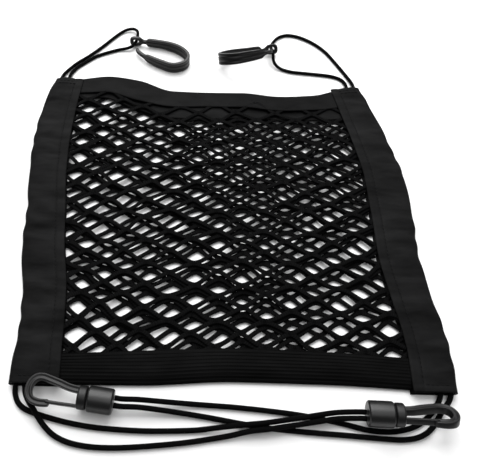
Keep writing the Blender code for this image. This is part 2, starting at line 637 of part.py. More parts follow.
def build_part():
    for thing in list(bpy.data.objects):
        bpy.data.objects.remove(thing, do_unlink=True)

    net = finish("net", BLACK_NET, 0.75)
    woven = finish("woven_band", BLACK_BAND, 0.85)
    elastic = finish("elastic_band", BLACK_BAND, 0.8)
    cord = finish("elastic_cord", BLACK_CORD, 0.75)
    plastic = finish("moulded_plastic", BLACK_PLASTIC, 0.4)

    for layer in NETS:
        add_net(layer, net)
        add_mouth_band(layer, elastic)
    add_bottom_band(elastic)
    add_side_band("left_side_band", -1, LEFT_WIDEST, woven)
    add_side_band("right_side_band", 1, RIGHT_WIDEST, woven)

    add_top_hook("top_left_hook", TOP_LEFT_POSE, plastic)
    add_top_hook("top_right_hook", TOP_RIGHT_POSE, plastic)
    for name, place in (("bottom_left", BOTTOM_LEFT_POSE), ("bottom_right", BOTTOM_RIGHT_POSE)):
        add_barrel(name + "_barrel", place, plastic)
        add_bottom_hook(name + "_hook", place, plastic)

    add_cord("top_left_cord", np.array(TOP_LEFT_ROUTE) * MM, LOOP_SPACING, LOOP_RADIUS, cord)
    add_cord("top_right_cord", np.array(TOP_RIGHT_ROUTE) * MM, LOOP_SPACING, LOOP_RADIUS, cord)
    strands = (
        ("bottom_left_cord_a", BOTTOM_LEFT_ROUTE_A, BOTTOM_RIGHT_POSE, 0.9 * MM),
        ("bottom_left_cord_b", BOTTOM_LEFT_ROUTE_B, BOTTOM_RIGHT_POSE, -3.1 * MM),
        ("bottom_right_cord_a", BOTTOM_RIGHT_ROUTE_A, BOTTOM_LEFT_POSE, 1.6 * MM),
        ("bottom_right_cord_b", BOTTOM_RIGHT_ROUTE_B, BOTTOM_LEFT_POSE, -3.2 * MM),
    )
    for name, route, place, offset in strands:
        add_cord(name, barrel_route(route, place, offset), CORD_SPACING, CORD_RADIUS, cord)


build_part()
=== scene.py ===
"""Looks of a seat back net pocket, laid out flat: nets, bands, cords and hooks.

Metres, +Z up. The surface is Z = 0, +Y points to the mouth, and the origin is under the panel's middle.
"""

import math

import bpy
import numpy as np
from mathutils import Matrix, Vector


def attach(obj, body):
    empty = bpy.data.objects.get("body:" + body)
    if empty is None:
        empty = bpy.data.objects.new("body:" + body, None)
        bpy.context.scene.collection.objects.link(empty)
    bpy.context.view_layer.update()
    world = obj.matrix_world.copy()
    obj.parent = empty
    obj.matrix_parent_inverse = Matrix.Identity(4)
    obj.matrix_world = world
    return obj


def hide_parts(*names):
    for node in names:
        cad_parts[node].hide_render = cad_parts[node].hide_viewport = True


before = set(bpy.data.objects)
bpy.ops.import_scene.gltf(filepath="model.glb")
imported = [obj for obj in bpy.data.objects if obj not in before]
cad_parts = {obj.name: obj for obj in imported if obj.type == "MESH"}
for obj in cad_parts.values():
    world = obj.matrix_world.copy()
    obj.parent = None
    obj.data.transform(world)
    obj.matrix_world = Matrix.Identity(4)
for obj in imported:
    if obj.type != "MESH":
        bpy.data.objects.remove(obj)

bl_info = {
    "name": "Net Pocket",
    "version": (1, 0, 0),
    "blender": (4, 5, 0),
    "location": "3D View > Sidebar > Net Pocket",
    "description": "Makes the nets, bands, cords and hooks of a seat back net pocket",
    "category": "Object",
}

MM = 0.001

# Cloth: every layer is one sheet thick, and lies one gap from the next.
SHEET = 1.0 * MM
GAP = 0.3 * MM
LAYER = SHEET + GAP
BAND_HEIGHT = 4 * LAYER + SHEET
TUCK = 9.0 * MM

# Side bands: which way is outwards, their puckers, and where they ride over the bottom band.
HAND = {"left": -1, "right": 1}
PUCKER_PITCH = 25.0 * MM
PUCKER_WANDER = 0.30
PUCKER_HEIGHT = 1.3 * MM
SCALLOP_DEPTH = 0.9 * MM
RIDE_START = -104.0 * MM
RIDE_END = -114.0 * MM
# Their seams and pressed inner edge.
SEAM_INSET = 7.5 * MM
HEM_SEAM = -137.0 * MM
TACKS = (134.5 * MM, 131.5 * MM)
SEAM_WIDTH = 0.9 * MM
LIP_DROP = 0.5 * MM
LIP_WIDTH = 1.6 * MM
# Their creases: seed and count on each side, then the range and unit of each random draw: off its even
# place, lean, width, depth, and the shares of the band's width where it is deepest and over which it fades.
CREASES = {"left": (4, 17), "right": (9, 15)}
CREASE_DRAWS = (
    ((-7.0, 7.0), MM), ((-8.0, 8.0), MM), ((1.3, 3.6), MM), ((0.12, 0.55), MM), ((0.1, 0.8), 1.0),
    ((0.25, 0.6), 1.0),
)

STITCH_RADIUS = 0.26 * MM
RIB_DEPTH = 0.32 * MM

# Nets
RIPPLE_HEIGHT = 1.8 * MM
RIPPLE_START = 5.0 * MM
RIPPLE_FADE = 24.0 * MM
MOUTH_LEFT = -134.0 * MM
MOUTH_RIGHT = 114.0 * MM
NET_SEWN_IN = 13.0 * MM
NET_LAP = 3.0 * MM
NET_TUCK = 0.6 * TUCK
YARN = 0.58 * MM
# Soft patches at the lower left, as centre and reach: where the nets are held together, and where their
# diamonds are pulled tall.
HELD_PATCH = ((-120.0 * MM, -135.0 * MM), (30.0 * MM, 45.0 * MM))
TAUT_PATCH = ((-125.0 * MM, -85.0 * MM), (45.0 * MM, 32.0 * MM))
TAUT_LIFT = 7.0 * MM
LEFT_PULL = 3.0 * MM
LEFT_EDGE = -125.0 * MM
LEFT_FADE = 30.0 * MM
# A net's slow waves, as size, radians a metre and radians a layer.
SWAY = (1.2 * MM, 52.0, 1.7)
LIFT = (0.9 * MM, 43.0, 2.3)
# How its knots stray: size, then two waves as radians a step across, a step up and a layer.
STRAY_ACROSS = (1.0 * MM, (2.1, 0.8, 2.4), (0.7, -1.3, 2.4))
STRAY_UP = (1.5 * MM, (1.2, -1.9, 2.4), (0.9, 0.6, -2.4))

# Hooks
RIBBON = 3.0 * MM
BAR = 4.4 * MM
BROAD_GROOVE = (0.7 * MM, 0.4 * MM)
NARROW_GROOVE = (0.95 * MM, 0.6 * MM)
EYE_HOLE = 5.4 * MM
EYE_REACH = (6.0 * MM, 4.8 * MM, 4.75 * MM)
BARREL_RADIUS = 8.3 * MM
BARREL_LENGTH = 16.5 * MM
BARREL_RIM = 0.9 * MM
COLLAR_RADIUS = 7.6 * MM
COLLAR_LENGTH = 6.0 * MM
COLLAR_RIM = 0.8 * MM
STRAIGHT_IN = 5.0 * MM
CORD_DROP = 1.2 * MM
GATE_THICKNESS = 1.8 * MM
GATE_WIDTH = 4.4 * MM
GATE_EDGE = 0.5 * MM

# Fine textures: strands of the braid, and the sizes of a knitted loop, threads and a thread's ply.
BRAID_STRANDS = 8.0
KNIT_LOOP = 1.7 * MM
WEAVE_THREAD = 1.1 * MM
WEFT_THREAD = 1.0 * MM
PLY = 0.7 * MM

# Camera: place, then heading, pitch up from straight down and roll in degrees.
CAMERA_PLACE = (-29.765 * MM, -238.821 * MM, 366.299 * MM)
CAMERA_TURNS = ((-1.916, "Z"), (90 - 58.752, "X"), (3.235, "Z"))
LENS = 38.93
SIDE_SHIFT = 0.12


class Rows:
    """A short table of sizes in millimetres, read in metres as smooth curves through its rows.

    The first column says where a row is. Between rows the curve is a monotone cubic, so it never
    passes the rows' own extremes.
    """

    def __init__(self, names, rows):
        self.names = names.split()
        self.values = np.array(rows, dtype=float) * MM

    def __call__(self, name, at):
        where = self.values[:, 0]
        value = self.values[:, self.names.index(name)]
        step = np.diff(where)
        rise = np.diff(value) / step
        slope = np.concatenate(([rise[0]], np.zeros(len(rise) - 1), [rise[-1]]))
        before, after = rise[:-1], rise[1:]
        climbs = before * after > 0
        slope[1:-1][climbs] = 2 * before[climbs] * after[climbs] / (before + after)[climbs]
        index = np.clip(np.searchsorted(where, at) - 1, 0, len(step) - 1)
        t = (at - where[index]) / step[index]
        left = value[index] * (1 + 2 * t) * (1 - t) ** 2
        left = left + slope[index] * step[index] * t * (1 - t) ** 2
        right = value[index + 1] * t ** 2 * (3 - 2 * t)
        return left + right - slope[index + 1] * step[index] * t ** 2 * (1 - t)


# The side bands' edges, bottom end to top end.
side = Rows("up left_outer left_inner right_inner right_outer", [
    (-142, -141.6, -107.5, 126.5, 157.8),
    (-107, -141.5, -109.5, 127.5, 159.0),
    (-72, -144.5, -112.0, 123.5, 155.3),
    (-37, -151.0, -118.0, 120.0, 152.5),
    (-2, -153.0, -122.0, 120.5, 155.0),
    (33, -157.3, -126.0, 120.5, 155.3),
    (68, -159.0, -127.5, 116.5, 149.6),
    (103, -157.2, -126.5, 110.0, 142.0),
    (138, -150.6, -124.0, 104.0, 132.0),
])
WIDEST = {"left": 68.0 * MM, "right": -107.0 * MM}
# How much lower the inner end of a band's top edge lies, and where the slant sets in.
TOP_DROP = {"left": 0.0, "right": 3.0 * MM}
DROP_START = 108.0 * MM

# The mouth bands' edges, left end to right end.
mouth = Rows("across front_top front_low middle_top middle_low back_top back_low", [
    (-136.0, 136.5, 121.0, 131.0, 113.0, 135.0, 117.0),
    (-104.5, 142.0, 122.5, 135.5, 117.5, 139.5, 121.5),
    (-73.0, 137.5, 113.0, 122.0, 104.0, 134.5, 116.5),
    (-41.5, 126.5, 107.5, 113.5, 95.5, 127.5, 109.0),
    (-10.0, 126.6, 109.3, 113.5, 95.5, 126.8, 108.8),
    (21.5, 126.4, 109.2, 116.0, 98.0, 125.8, 108.0),
    (53.0, 122.8, 105.6, 115.0, 97.0, 121.0, 103.0),
    (84.5, 126.3, 108.6, 116.0, 98.0, 123.5, 105.5),
    (116.0, 137.5, 114.5, 119.0, 101.0, 134.0, 115.0),
])

# The bottom band's sewn edge and fold, left end to right end.
bottom = Rows("across upper fold", [
    (-118.0, -122.0, -141.4),
    (-54.5, -118.0, -140.7),
    (9.0, -115.0, -137.0),
    (72.5, -116.0, -137.5),
    (136.0, -119.5, -140.2),
])

# The bottom band's section from the sewn edge of its under leaf to that of its upper leaf: distance
# from the fold in millimetres (None is the band's whole width), height, and how far under the side bands
# it runs.
BOTTOM_SECTION = (
    (None, 0.0, 0.0), (2.6, 0.0, 0.0), (0.5, 0.8, 0.0), (0.0, 2.2, 0.0), (1.2, 3.8, 0.35),
    (4.6, 5.3, 0.8), (8.6, 6.0, 1.0), (10.4, 6.2, 1.0), (None, 6.2, 1.0),
)

# Nets, from the surface up: level, share of the ripple, and how far its lattice has slid from the back
# one's, in millimetres across and up, at three heights and four places across, lower left first.
DRIFT_COLUMNS = (-115.0 * MM, -55.0 * MM, 0.0, 110.0 * MM)
DRIFT_ROWS = (-120.0 * MM, -10.0 * MM, 90.0 * MM)
NETS = (
    {"name": "back", "level": 1, "ripple": 0.0, "drift": (((0.0, 0.0),) * 4,) * 3},
    {"name": "middle", "level": 2, "ripple": 0.3, "drift": (
        ((-5.0, 4.0), (-3.2, 4.3), (-1.6, 4.6), (1.0, 5.6)),
        ((-7.2, 4.6), (-3.4, 4.7), (0.0, 4.9), (4.5, 5.5)),
        ((-3.4, 2.8), (-3.8, 4.9), (-0.3, 4.9), (0.5, 6.2)))},
    {"name": "front", "level": 3, "ripple": 1.0, "drift": (
        ((-0.5, 5.0), (-5.8, 8.0), (-4.6, 7.4), (-1.0, 7.4)),
        ((0.3, 2.0), (-6.6, 7.9), (-2.0, 7.6), (5.0, 8.4)),
        ((0.7, 1.5), (0.1, 5.5), (-0.4, 9.2), (0.6, 12.4)))},
)

# Cord routes, in millimetres, as in the solids.
TOP_LEFT_ROUTE = (
    (-145.3, 133.0, 3.1), (-145.3, 139.6, 3.1), (-143.2, 148.5, 2.2), (-136.6, 159.4, 1.55),
    (-132.4, 164.5, 1.55), (-124.6, 172.4, 1.55), (-118.4, 179.4, 1.55), (-110.4, 189.4, 1.55),
    (-103.8, 198.4, 1.55), (-97.0, 207.0, 1.55), (-90.2, 212.2, 2.2), (-83.6, 212.6, 3.2),
    (-79.3, 207.6, 4.4), (-78.6, 199.8, 5.2), (-79.5, 192.5, 5.3), (-82.6, 186.9, 4.2),
    (-88.4, 184.9, 2.5), (-95.2, 184.0, 1.55), (-102.4, 181.0, 1.55), (-109.6, 177.6, 1.55),
    (-116.2, 173.8, 1.55), (-121.6, 169.0, 1.55), (-129.4, 161.2, 1.55), (-133.6, 156.2, 1.55),
    (-137.4, 148.4, 2.2), (-138.4, 139.6, 3.1), (-138.4, 133.0, 3.1),
)
TOP_RIGHT_ROUTE = (
    (127.0, 133.0, 3.1), (127.0, 139.6, 3.1), (126.3, 147.5, 2.2), (122.4, 158.0, 1.55),
    (114.2, 175.0, 1.55), (106.2, 190.0, 1.55), (97.2, 200.4, 1.55), (88.0, 207.4, 1.55),
    (78.6, 211.8, 1.55), (69.0, 212.8, 1.55), (60.8, 208.8, 1.55), (55.4, 201.6, 1.55),
    (52.6, 193.6, 2.4), (52.2, 186.5, 6.0), (52.4, 181.2, 9.2), (52.6, 175.6, 9.0),
    (53.8, 169.6, 5.0), (59.4, 164.8, 2.0), (69.0, 161.2, 1.55), (79.6, 159.8, 1.55),
    (93.0, 158.6, 1.55), (106.4, 156.9, 1.55), (115.4, 153.6, 1.55), (119.6, 147.4, 2.2),
    (120.3, 139.6, 3.1), (120.3, 133.0, 3.1),
)
BOTTOM_LEFT_ROUTE_A = (
    (-136.3, -136.0, 3.75), (-136.3, -142.6, 3.6), (-135.6, -148.6, 2.3), (-132.3, -154.2, 1.8),
    (-126.0, -158.2, 1.8), (-114.0, -161.8, 1.8), (-97.0, -165.6, 1.8), (-79.0, -168.0, 1.8),
    (-55.0, -169.2, 1.8), (-36.0, -169.0, 1.8), (-18.0, -168.2, 2.0), (-6.0, -167.0, 3.5),
    (4.0, -166.0, 5.4), (17.0, -164.6, 5.8), (28.0, -163.4, 5.8), (39.5, -161.6, 5.8),
    (49.5, -160.0, 5.8), (62.5, -157.8, 6.0), (74.0, -156.2, 6.5),
)
BOTTOM_LEFT_ROUTE_B = (
    (-130.2, -136.0, 3.75), (-130.2, -142.6, 3.7), (-128.9, -147.6, 4.2), (-126.0, -152.6, 5.3),
    (-122.2, -157.4, 6.0), (-118.4, -162.4, 5.8), (-113.6, -168.0, 3.4), (-107.0, -173.2, 2.0),
    (-98.0, -177.0, 1.8), (-86.0, -179.2, 1.8), (-72.0, -179.8, 1.8), (-54.0, -178.9, 1.8),
    (-27.0, -176.2, 1.8), (-6.0, -173.0, 1.9), (6.0, -170.9, 3.0), (17.0, -168.7, 5.2),
    (28.0, -167.4, 5.8), (39.5, -165.6, 5.8), (49.5, -164.0, 5.8), (62.5, -161.8, 6.0),
    (74.0, -160.1, 6.5),
)
BOTTOM_RIGHT_ROUTE_A = (
    (152.3, -136.0, 3.75), (152.3, -142.6, 3.6), (150.0, -147.4, 2.3), (146.2, -151.4, 1.8),
    (142.2, -156.4, 1.8), (138.0, -161.6, 1.8), (132.2, -166.6, 1.8), (125.0, -169.9, 1.8),
    (116.0, -171.3, 1.8), (106.0, -171.1, 1.8), (94.5, -170.4, 1.8), (78.5, -169.3, 1.8),
    (62.0, -168.4, 1.8), (49.5, -167.6, 1.8), (36.7, -166.6, 1.8), (25.0, -165.5, 1.8),
    (11.0, -163.4, 1.8), (-2.0, -161.3, 1.8), (-14.0, -159.5, 2.0), (-28.0, -157.8, 3.0),
    (-44.0, -156.4, 5.2), (-55.0, -155.7, 6.8),
)
BOTTOM_RIGHT_ROUTE_B = (
    (145.3, -136.0, 3.75), (145.3, -142.6, 3.6), (143.4, -147.4, 2.2), (139.2, -152.6, 1.8),
    (134.0, -157.4, 1.8), (128.0, -161.4, 1.8), (121.0, -164.3, 1.8), (111.0, -166.4, 1.8),
    (101.4, -166.6, 1.8), (93.7, -165.8, 1.8), (86.8, -164.3, 1.8), (79.3, -162.5, 1.8),
    (69.8, -160.6, 1.8), (60.0, -158.9, 1.8), (50.0, -157.3, 1.8), (32.0, -155.3, 1.8),
    (8.0, -153.3, 1.8), (-12.0, -152.3, 2.0), (-28.0, -151.7, 3.2), (-44.0, -151.2, 5.4),
    (-55.0, -150.9, 6.9),
)

# The bottom strands: corner, strand, route, the barrel it runs into, and how far beside its axis.
STRANDS = (
    ("bottom_left", "a", BOTTOM_LEFT_ROUTE_A, "bottom_right", 0.9 * MM),
    ("bottom_left", "b", BOTTOM_LEFT_ROUTE_B, "bottom_right", -3.1 * MM),
    ("bottom_right", "a", BOTTOM_RIGHT_ROUTE_A, "bottom_left", 1.6 * MM),
    ("bottom_right", "b", BOTTOM_RIGHT_ROUTE_B, "bottom_left", -3.2 * MM),
)

# A hook's centreline in its own plane, in millimetres: along, across, and half the ribbon's width.
TOP_HOOK_LINE = (
    (3.2, 0.2, 4.5), (3.6, 0.2, 4.4), (7.0, 0.6, 1.9), (10.0, 1.2, 1.9),
    (12.6, 1.7, 4.2), (24.0, 3.5, 4.4), (33.0, 6.0, 4.8), (40.5, 9.5, 5.1), (46.7, 14.5, 5.2),
    (50.8, 21.0, 5.2), (50.2, 27.8, 5.2), (45.0, 33.0, 5.1), (36.0, 35.0, 5.0), (26.0, 31.2, 4.8),
    (17.0, 26.4, 4.4), (12.4, 23.6, 3.8), (9.0, 21.0, 1.9), (3.4, 15.4, 1.5), (1.2, 10.8, 1.3),
)
BOTTOM_HOOK_LINE = (
    (-2.5, 4.2, 2.4), (2.0, 4.5, 2.4), (7.0, 5.1, 2.5), (13.0, 6.7, 2.7), (19.0, 8.1, 2.7),
    (24.0, 9.1, 2.7), (27.6, 8.6, 2.7), (30.4, 6.2, 2.7), (31.8, 2.2, 2.7), (31.2, -2.4, 2.6),
    (28.6, -5.8, 2.5), (24.4, -7.0, 2.3), (20.4, -6.9, 2.1), (17.0, -6.4, 1.9),
)
GATE_LINE = ((-2.0, -5.8), (9.0, -5.9), (20.6, -6.0))

# Soft lamps: place in metres, width and power in watts.
LAMPS = (
    ("back_softbox", (-0.15, 1.0, 1.15), 1.6, 44.0),
    ("top_softbox", (0.1, -0.05, 1.6), 1.6, 14.0),
)


def pose(origin, heading, pitch, roll):
    """Where a hook lies: its axis turned to a heading, raised by a pitch and rolled about itself."""
    turn = Matrix.Rotation(math.radians(heading), 4, "Z")
    turn = turn @ Matrix.Rotation(math.radians(-pitch), 4, "Y")
    turn = turn @ Matrix.Rotation(math.radians(roll), 4, "X")
    return Matrix.Translation(Vector(origin)) @ turn


POSES = {
    "top_left": pose((-79.5 * MM, 192.5 * MM, 5.3 * MM), 0.0, 0.0, 180.0),
    "top_right": pose((52.2 * MM, 186.5 * MM, 6.0 * MM), 184.0, -7.0, 34.0),
    "bottom_left": pose((-70.8 * MM, -153.4 * MM, 8.6 * MM), 173.5, 3.4, 180.0),
    "bottom_right": pose((92.6 * MM, -156.8 * MM, 8.6 * MM), -3.0, 6.2, -42.0),
}


# Sizes and colours that a user would change

def length(name, description, default):
    return bpy.props.FloatProperty(name=name, description=description, default=default, min=0.0,
                                   subtype="DISTANCE", unit="LENGTH", precision=5)


def colour(name, description, default):
    return bpy.props.FloatVectorProperty(name=name, description=description, default=default, size=3,
                                         min=0.0, max=1.0, subtype="COLOR")


class PocketCordSettings(bpy.types.PropertyGroup):
    diameter: length("Diameter", "Diameter of the bottom corners' cords", 3.5 * MM)
    loop: length("Loop diameter", "Diameter of the hook loops' cords", 2.9 * MM)
    braid: length("Braid", "Length of one turn of the braid's strands", 9.0 * MM)
    colour: colour("Colour", "Colour of the cords' yarn", (0.0022, 0.0022, 0.0023))


class PocketNetSettings(bpy.types.PropertyGroup):
    step_across: length("Half width", "Half the width of one diamond", 17.0 * MM)
    step_up: length("Half height", "Half the height of one diamond", 9.3 * MM)
    strand: length("Strand", "Width of a strand between its knots", 3.35 * MM)
    colour: colour("Colour", "Colour of the net's yarn", (0.0022, 0.0022, 0.0023))


class PocketBandSettings(bpy.types.PropertyGroup):
    rib: length("Rib", "Distance between the ribs of the bottom band", 2.4 * MM)
    stitch: length("Stitch", "Length of a stitch", 2.6 * MM)
    woven: colour("Woven bands", "Colour of the side bands", (0.0046, 0.0046, 0.0047))
    elastic: colour("Elastic bands", "Colour of the mouth and bottom bands", (0.0033, 0.0033, 0.0034))
    thread: colour("Thread", "Colour of the sewing thread", (0.006, 0.006, 0.0062))


class PocketHookSettings(bpy.types.PropertyGroup):
    edge: length("Edge radius", "Radius of the hooks' edges", 0.6 * MM)
    colour: colour("Colour", "Colour of the moulded hooks", (0.0045, 0.0045, 0.0046))


class PocketStageSettings(bpy.types.PropertyGroup):
    floor: colour("Floor", "Colour of the floor", (0.88, 0.88, 0.88))
    sky: bpy.props.FloatProperty(name="Sky", description="Strength of the even light", default=0.12,
                                 min=0.0)
    lamps: bpy.props.FloatProperty(name="Lamps", description="Strength of the soft lamps", default=1.0,
                                   min=0.0)


# Surfaces

def eased(t):
    """0 to 1 with level ends."""
    t = np.clip(t, 0.0, 1.0)
    return t * t * (3 - 2 * t)


def bell(distance, width):
    """A bell curve: 1 at no distance, about a third at its width."""
    return np.exp(-(distance / width) ** 2)


def circle(count):
    """Angles evenly round a full turn."""
    return np.linspace(0.0, 2 * math.pi, count, endpoint=False)


def points_at(x, y, z):
    """Points from coordinates that fill one grid."""
    return np.stack(np.broadcast_arrays(x, y, z), axis=-1)


def unit(vectors):
    """Vectors of the same direction and of length 1."""
    return vectors / np.linalg.norm(vectors, axis=-1, keepdims=True)


def linked(name, mesh, material):
    """An object at the origin for a finished mesh."""
    mesh.materials.append(material)
    thing = bpy.data.objects.new(name, mesh)
    bpy.context.scene.collection.objects.link(thing)
    return thing


def carried_by_part(thing, node):
    """Put a piece on the part's only body, in place of its solid where it has one."""
    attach(thing, "root")
    if node:
        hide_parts(node)
    return thing


def place_object(name, mesh, material, node):
    """A finished piece of the part from its mesh."""
    return carried_by_part(linked(name, mesh, material), node)


def join_meshes(name, parts, material, node):
    """One object from several closed meshes."""
    things = [linked(f"{name}_{k}", mesh, material) for k, mesh in enumerate(parts)]
    whole = things[0]
    with bpy.context.temp_override(active_object=whole, selected_editable_objects=things,
                                   selected_objects=things, object=whole):
        bpy.ops.object.join()
    whole.name = name
    whole.data.name = name
    return carried_by_part(whole, node)


def carried(name, rings, along, around=None, wrap=True, caps=True):
    """Strips or tubes: sections carried along paths.

    rings is pieces x rings x points x 3. Each face goes first along the path and then round the
    section, so it faces path direction x section direction. along (pieces x rings) and around (points, and
    one more where the section wraps, 0 to 1 if not given) are the UV map.
    """
    pieces, rows, columns, _ = rings.shape
    around = np.linspace(0.0, 1.0, columns + 1) if around is None else around
    index = np.arange(pieces * rows * columns).reshape(pieces, rows, columns)
    whole = np.concatenate([index, index[:, :, :1]], axis=2) if wrap else index
    uv = np.stack(np.broadcast_arrays(along[:, :, None], around), axis=-1)
    corners = [(slice(None, -1), slice(None, -1)), (slice(1, None), slice(None, -1)),
               (slice(1, None), slice(1, None)), (slice(None, -1), slice(1, None))]
    quads = np.stack([whole[:, a, b] for a, b in corners], axis=-1).reshape(-1, 4)
    uvs = np.stack([uv[:, a, b] for a, b in corners], axis=-2).reshape(-1, 2)
    faces = quads.tolist()
    if caps:
        faces += index[:, 0].tolist() + index[:, -1, ::-1].tolist()
        first = uv[:, 0, :columns].reshape(-1, 2)
        last = uv[:, -1, :columns][:, ::-1].reshape(-1, 2)
        uvs = np.concatenate([uvs, first, last])
    mesh = bpy.data.meshes.new(name)
    mesh.from_pydata(rings.reshape(-1, 3), [], faces)
    mesh.uv_layers.new(name="UVMap").data.foreach_set("uv", uvs.ravel())
    mesh.polygons.foreach_set("use_smooth", np.ones(len(faces), dtype=bool))
    return mesh


def sections(centre, tangent, across, up):
    """Sections round a path: centre + side * across + over * up.

    The side is level and at right angles to the path, and over is at right angles to both.
    """
    aside = unit(np.cross(tangent, (0.0, 0.0, 1.0)))
    above = np.cross(aside, tangent)
    rings = centre[..., None, :] + aside[..., None, :] * across[..., None]
    return rings + above[..., None, :] * up[..., None]


def smooth_line(route, spacing):
    """Points a spacing apart on a Catmull-Rom curve through the route's points."""
    route = np.array(route, dtype=float)
    padded = np.concatenate([2 * route[:1] - route[1:2], route, 2 * route[-1:] - route[-2:-1]])
    t = np.linspace(0.0, 1.0, 24, endpoint=False)[:, None]
    pieces = []
    for a, b, c, d in zip(padded, padded[1:], padded[2:], padded[3:]):
        cubic = -a + 3 * b - 3 * c + d
        square = 2 * a - 5 * b + 4 * c - d
        pieces.append(0.5 * (2 * b + (c - a) * t + square * t ** 2 + cubic * t ** 3))
    line = np.concatenate(pieces + [route[-1:]])
    run = path_length(line)
    return at_distances(line, run, np.linspace(0.0, run[-1], int(round(run[-1] / spacing)) + 1))


def at_distances(line, run, where):
    """Points of a line, given its run, at these distances along it."""
    return np.stack([np.interp(where, run, column) for column in line.T], axis=-1)


def path_length(line):
    """Distance along a line at each of its points."""
    steps = np.linalg.norm(np.diff(line, axis=0), axis=1)
    return np.concatenate([[0.0], np.cumsum(steps)])


# Shader maths

class Value:
    """A shader socket. Arithmetic on it adds Math nodes."""

    def __init__(self, finish, socket):
        self.finish = finish
        self.socket = socket

    def maths(self, operation, first, second=0.0):
        return self.finish.node("ShaderNodeMath", {"operation": operation}, {0: first, 1: second})

    def __add__(self, other):
        return self.maths("ADD", self, other)

    def __sub__(self, other):
        return self.maths("SUBTRACT", self, other)

    def __rsub__(self, other):
        return self.maths("SUBTRACT", other, self)

    def __mul__(self, other):
        return self.maths("MULTIPLY", self, other)

    def __truediv__(self, other):
        return self.maths("DIVIDE", self, other)

    __radd__ = __add__
    __rmul__ = __mul__

    def sine(self):
        """The sine of this many whole turns."""
        return self.maths("SINE", self * (2 * math.pi))

    def size(self):
        return self.maths("ABSOLUTE", self)


class Finish:
    """One material: a Principled shader and the nodes that vary it."""

    def __init__(self, name, roughness, specular):
        self.material = bpy.data.materials.new(name)
        self.material.use_nodes = True
        self.tree = self.material.node_tree
        self.shader = self.tree.nodes["Principled BSDF"]
        self.shader.inputs["Roughness"].default_value = roughness
        self.shader.inputs["Specular IOR Level"].default_value = specular

    def node(self, kind, settings, values, output=0):
        """Add a node: its settings first, then values or links for its sockets."""
        node = self.tree.nodes.new(kind)
        for key, value in settings.items():
            setattr(node, key, value)
        for key, value in values.items():
            if isinstance(value, Value):
                self.tree.links.new(value.socket, node.inputs[key])
            else:
                node.inputs[key].default_value = value
        return Value(self, node.outputs[output])

    def position(self):
        """Object coordinates, in metres."""
        return self.node("ShaderNodeTexCoord", {}, {}, "Object")

    def map(self):
        """The piece's own UV map as two values, in metres or turns."""
        place = self.node("ShaderNodeUVMap", {"uv_map": "UVMap"}, {})
        along = self.node("ShaderNodeSeparateXYZ", {}, {0: place}, "X")
        node = along.socket.node
        return along, Value(self, node.outputs["Y"])

    def noise(self, scale, detail=2.0):
        """Noise from 0 to 1 on Object coordinates."""
        values = {"Vector": self.position(), "Scale": scale, "Detail": detail}
        return self.node("ShaderNodeTexNoise", {"noise_dimensions": "3D"}, values)

    def streaks(self, scales):
        """Noise spread to about 0 to 1, with its own number of waves a metre along each axis."""
        stretched = self.node("ShaderNodeVectorMath", {"operation": "MULTIPLY"},
                              {0: self.position(), 1: scales})
        values = {"Vector": stretched, "Scale": 1.0, "Detail": 4.0, "Roughness": 0.6}
        return self.node("ShaderNodeTexNoise", {"noise_dimensions": "3D"}, values) * 2.4 - 0.7

    def colour(self, share, base, dark, pale):
        """From a darker to a paler shade of one colour."""
        values = {0: share, 6: (*shade(base, dark), 1.0), 7: (*shade(base, pale), 1.0)}
        mixed = self.node("ShaderNodeMix", {"data_type": "RGBA"}, values, 2)
        self.tree.links.new(mixed.socket, self.shader.inputs["Base Color"])

    def roughness(self, value):
        self.tree.links.new(value.socket, self.shader.inputs["Roughness"])

    def relief(self, height, distance):
        """Bump from a height of 0 to 1 over a distance in metres."""
        values = {"Height": height, "Distance": distance, "Strength": 1.0}
        bump = self.node("ShaderNodeBump", {}, values)
        self.tree.links.new(bump.socket, self.shader.inputs["Normal"])


def shade(base, factor):
    """A colour made lighter or darker."""
    return tuple(min(1.0, channel * factor) for channel in base)


def braided_yarn(settings):
    """Two sets of strands wind round the cord both ways, and show as small scales."""
    finish = Finish("braided_cord", 0.7, 0.025)
    along, around = finish.map()
    turn = along / settings.braid
    scales = ((turn + around) * BRAID_STRANDS).sine() * ((turn - around) * BRAID_STRANDS).sine()
    height = scales * 0.5 + 0.5
    worn = finish.noise(160.0)
    # The colour darkens with the braid's relief: painted shade between the scales; the worn noise adds
    # random tone.
    finish.colour(height * 0.6 + worn * 0.4, settings.colour, 0.5, 1.9)
    finish.roughness(0.75 - height * 0.22)
    finish.relief(height, 0.25 * MM)
    return finish.material


def knitted_yarn(settings):
    """Loops in rows along a strand show as chevrons on both of its rounded sides."""
    finish = Finish("knitted_net", 0.8, 0.03)
    along, across = finish.map()
    slant = (across - 0.25).size() * 1.3
    loops = (along / KNIT_LOOP + slant).sine() * 0.5 + 0.5
    fuzz = finish.noise(700.0, 3.0)
    height = loops * 0.75 + fuzz * 0.25
    # The colour darkens with the loops' relief: painted shade between the loops; the other noise adds
    # random tone.
    finish.colour(height * 0.5 + finish.noise(45.0) * 0.5, settings.colour, 0.45, 1.8)
    finish.roughness(0.85 - height * 0.2)
    finish.relief(height, 0.22 * MM)
    return finish.material


def woven_cloth(settings):
    """A plain weave: warp and weft threads rise in turn."""
    finish = Finish("woven_cloth", 0.7, 0.05)
    along, across = finish.map()
    threads = (along / WEAVE_THREAD).sine() * (across / WEAVE_THREAD).sine()
    slub = finish.noise(260.0, 3.0)
    height = threads * 0.35 + 0.4 + slub * 0.25
    # Broad streaks of painted shade and light stand in for the band's darker creases and lighter puffs;
    # they also vary the roughness.
    painted_streak_shade = finish.streaks((22.0, 85.0, 22.0))
    # The colour also darkens with the weave's relief: painted shade between the threads.
    finish.colour(height * 0.3 + painted_streak_shade * 0.7, settings.woven, 0.25, 2.3)
    finish.roughness(0.8 - painted_streak_shade * 0.25)
    finish.relief(height, 0.15 * MM)
    return finish.material


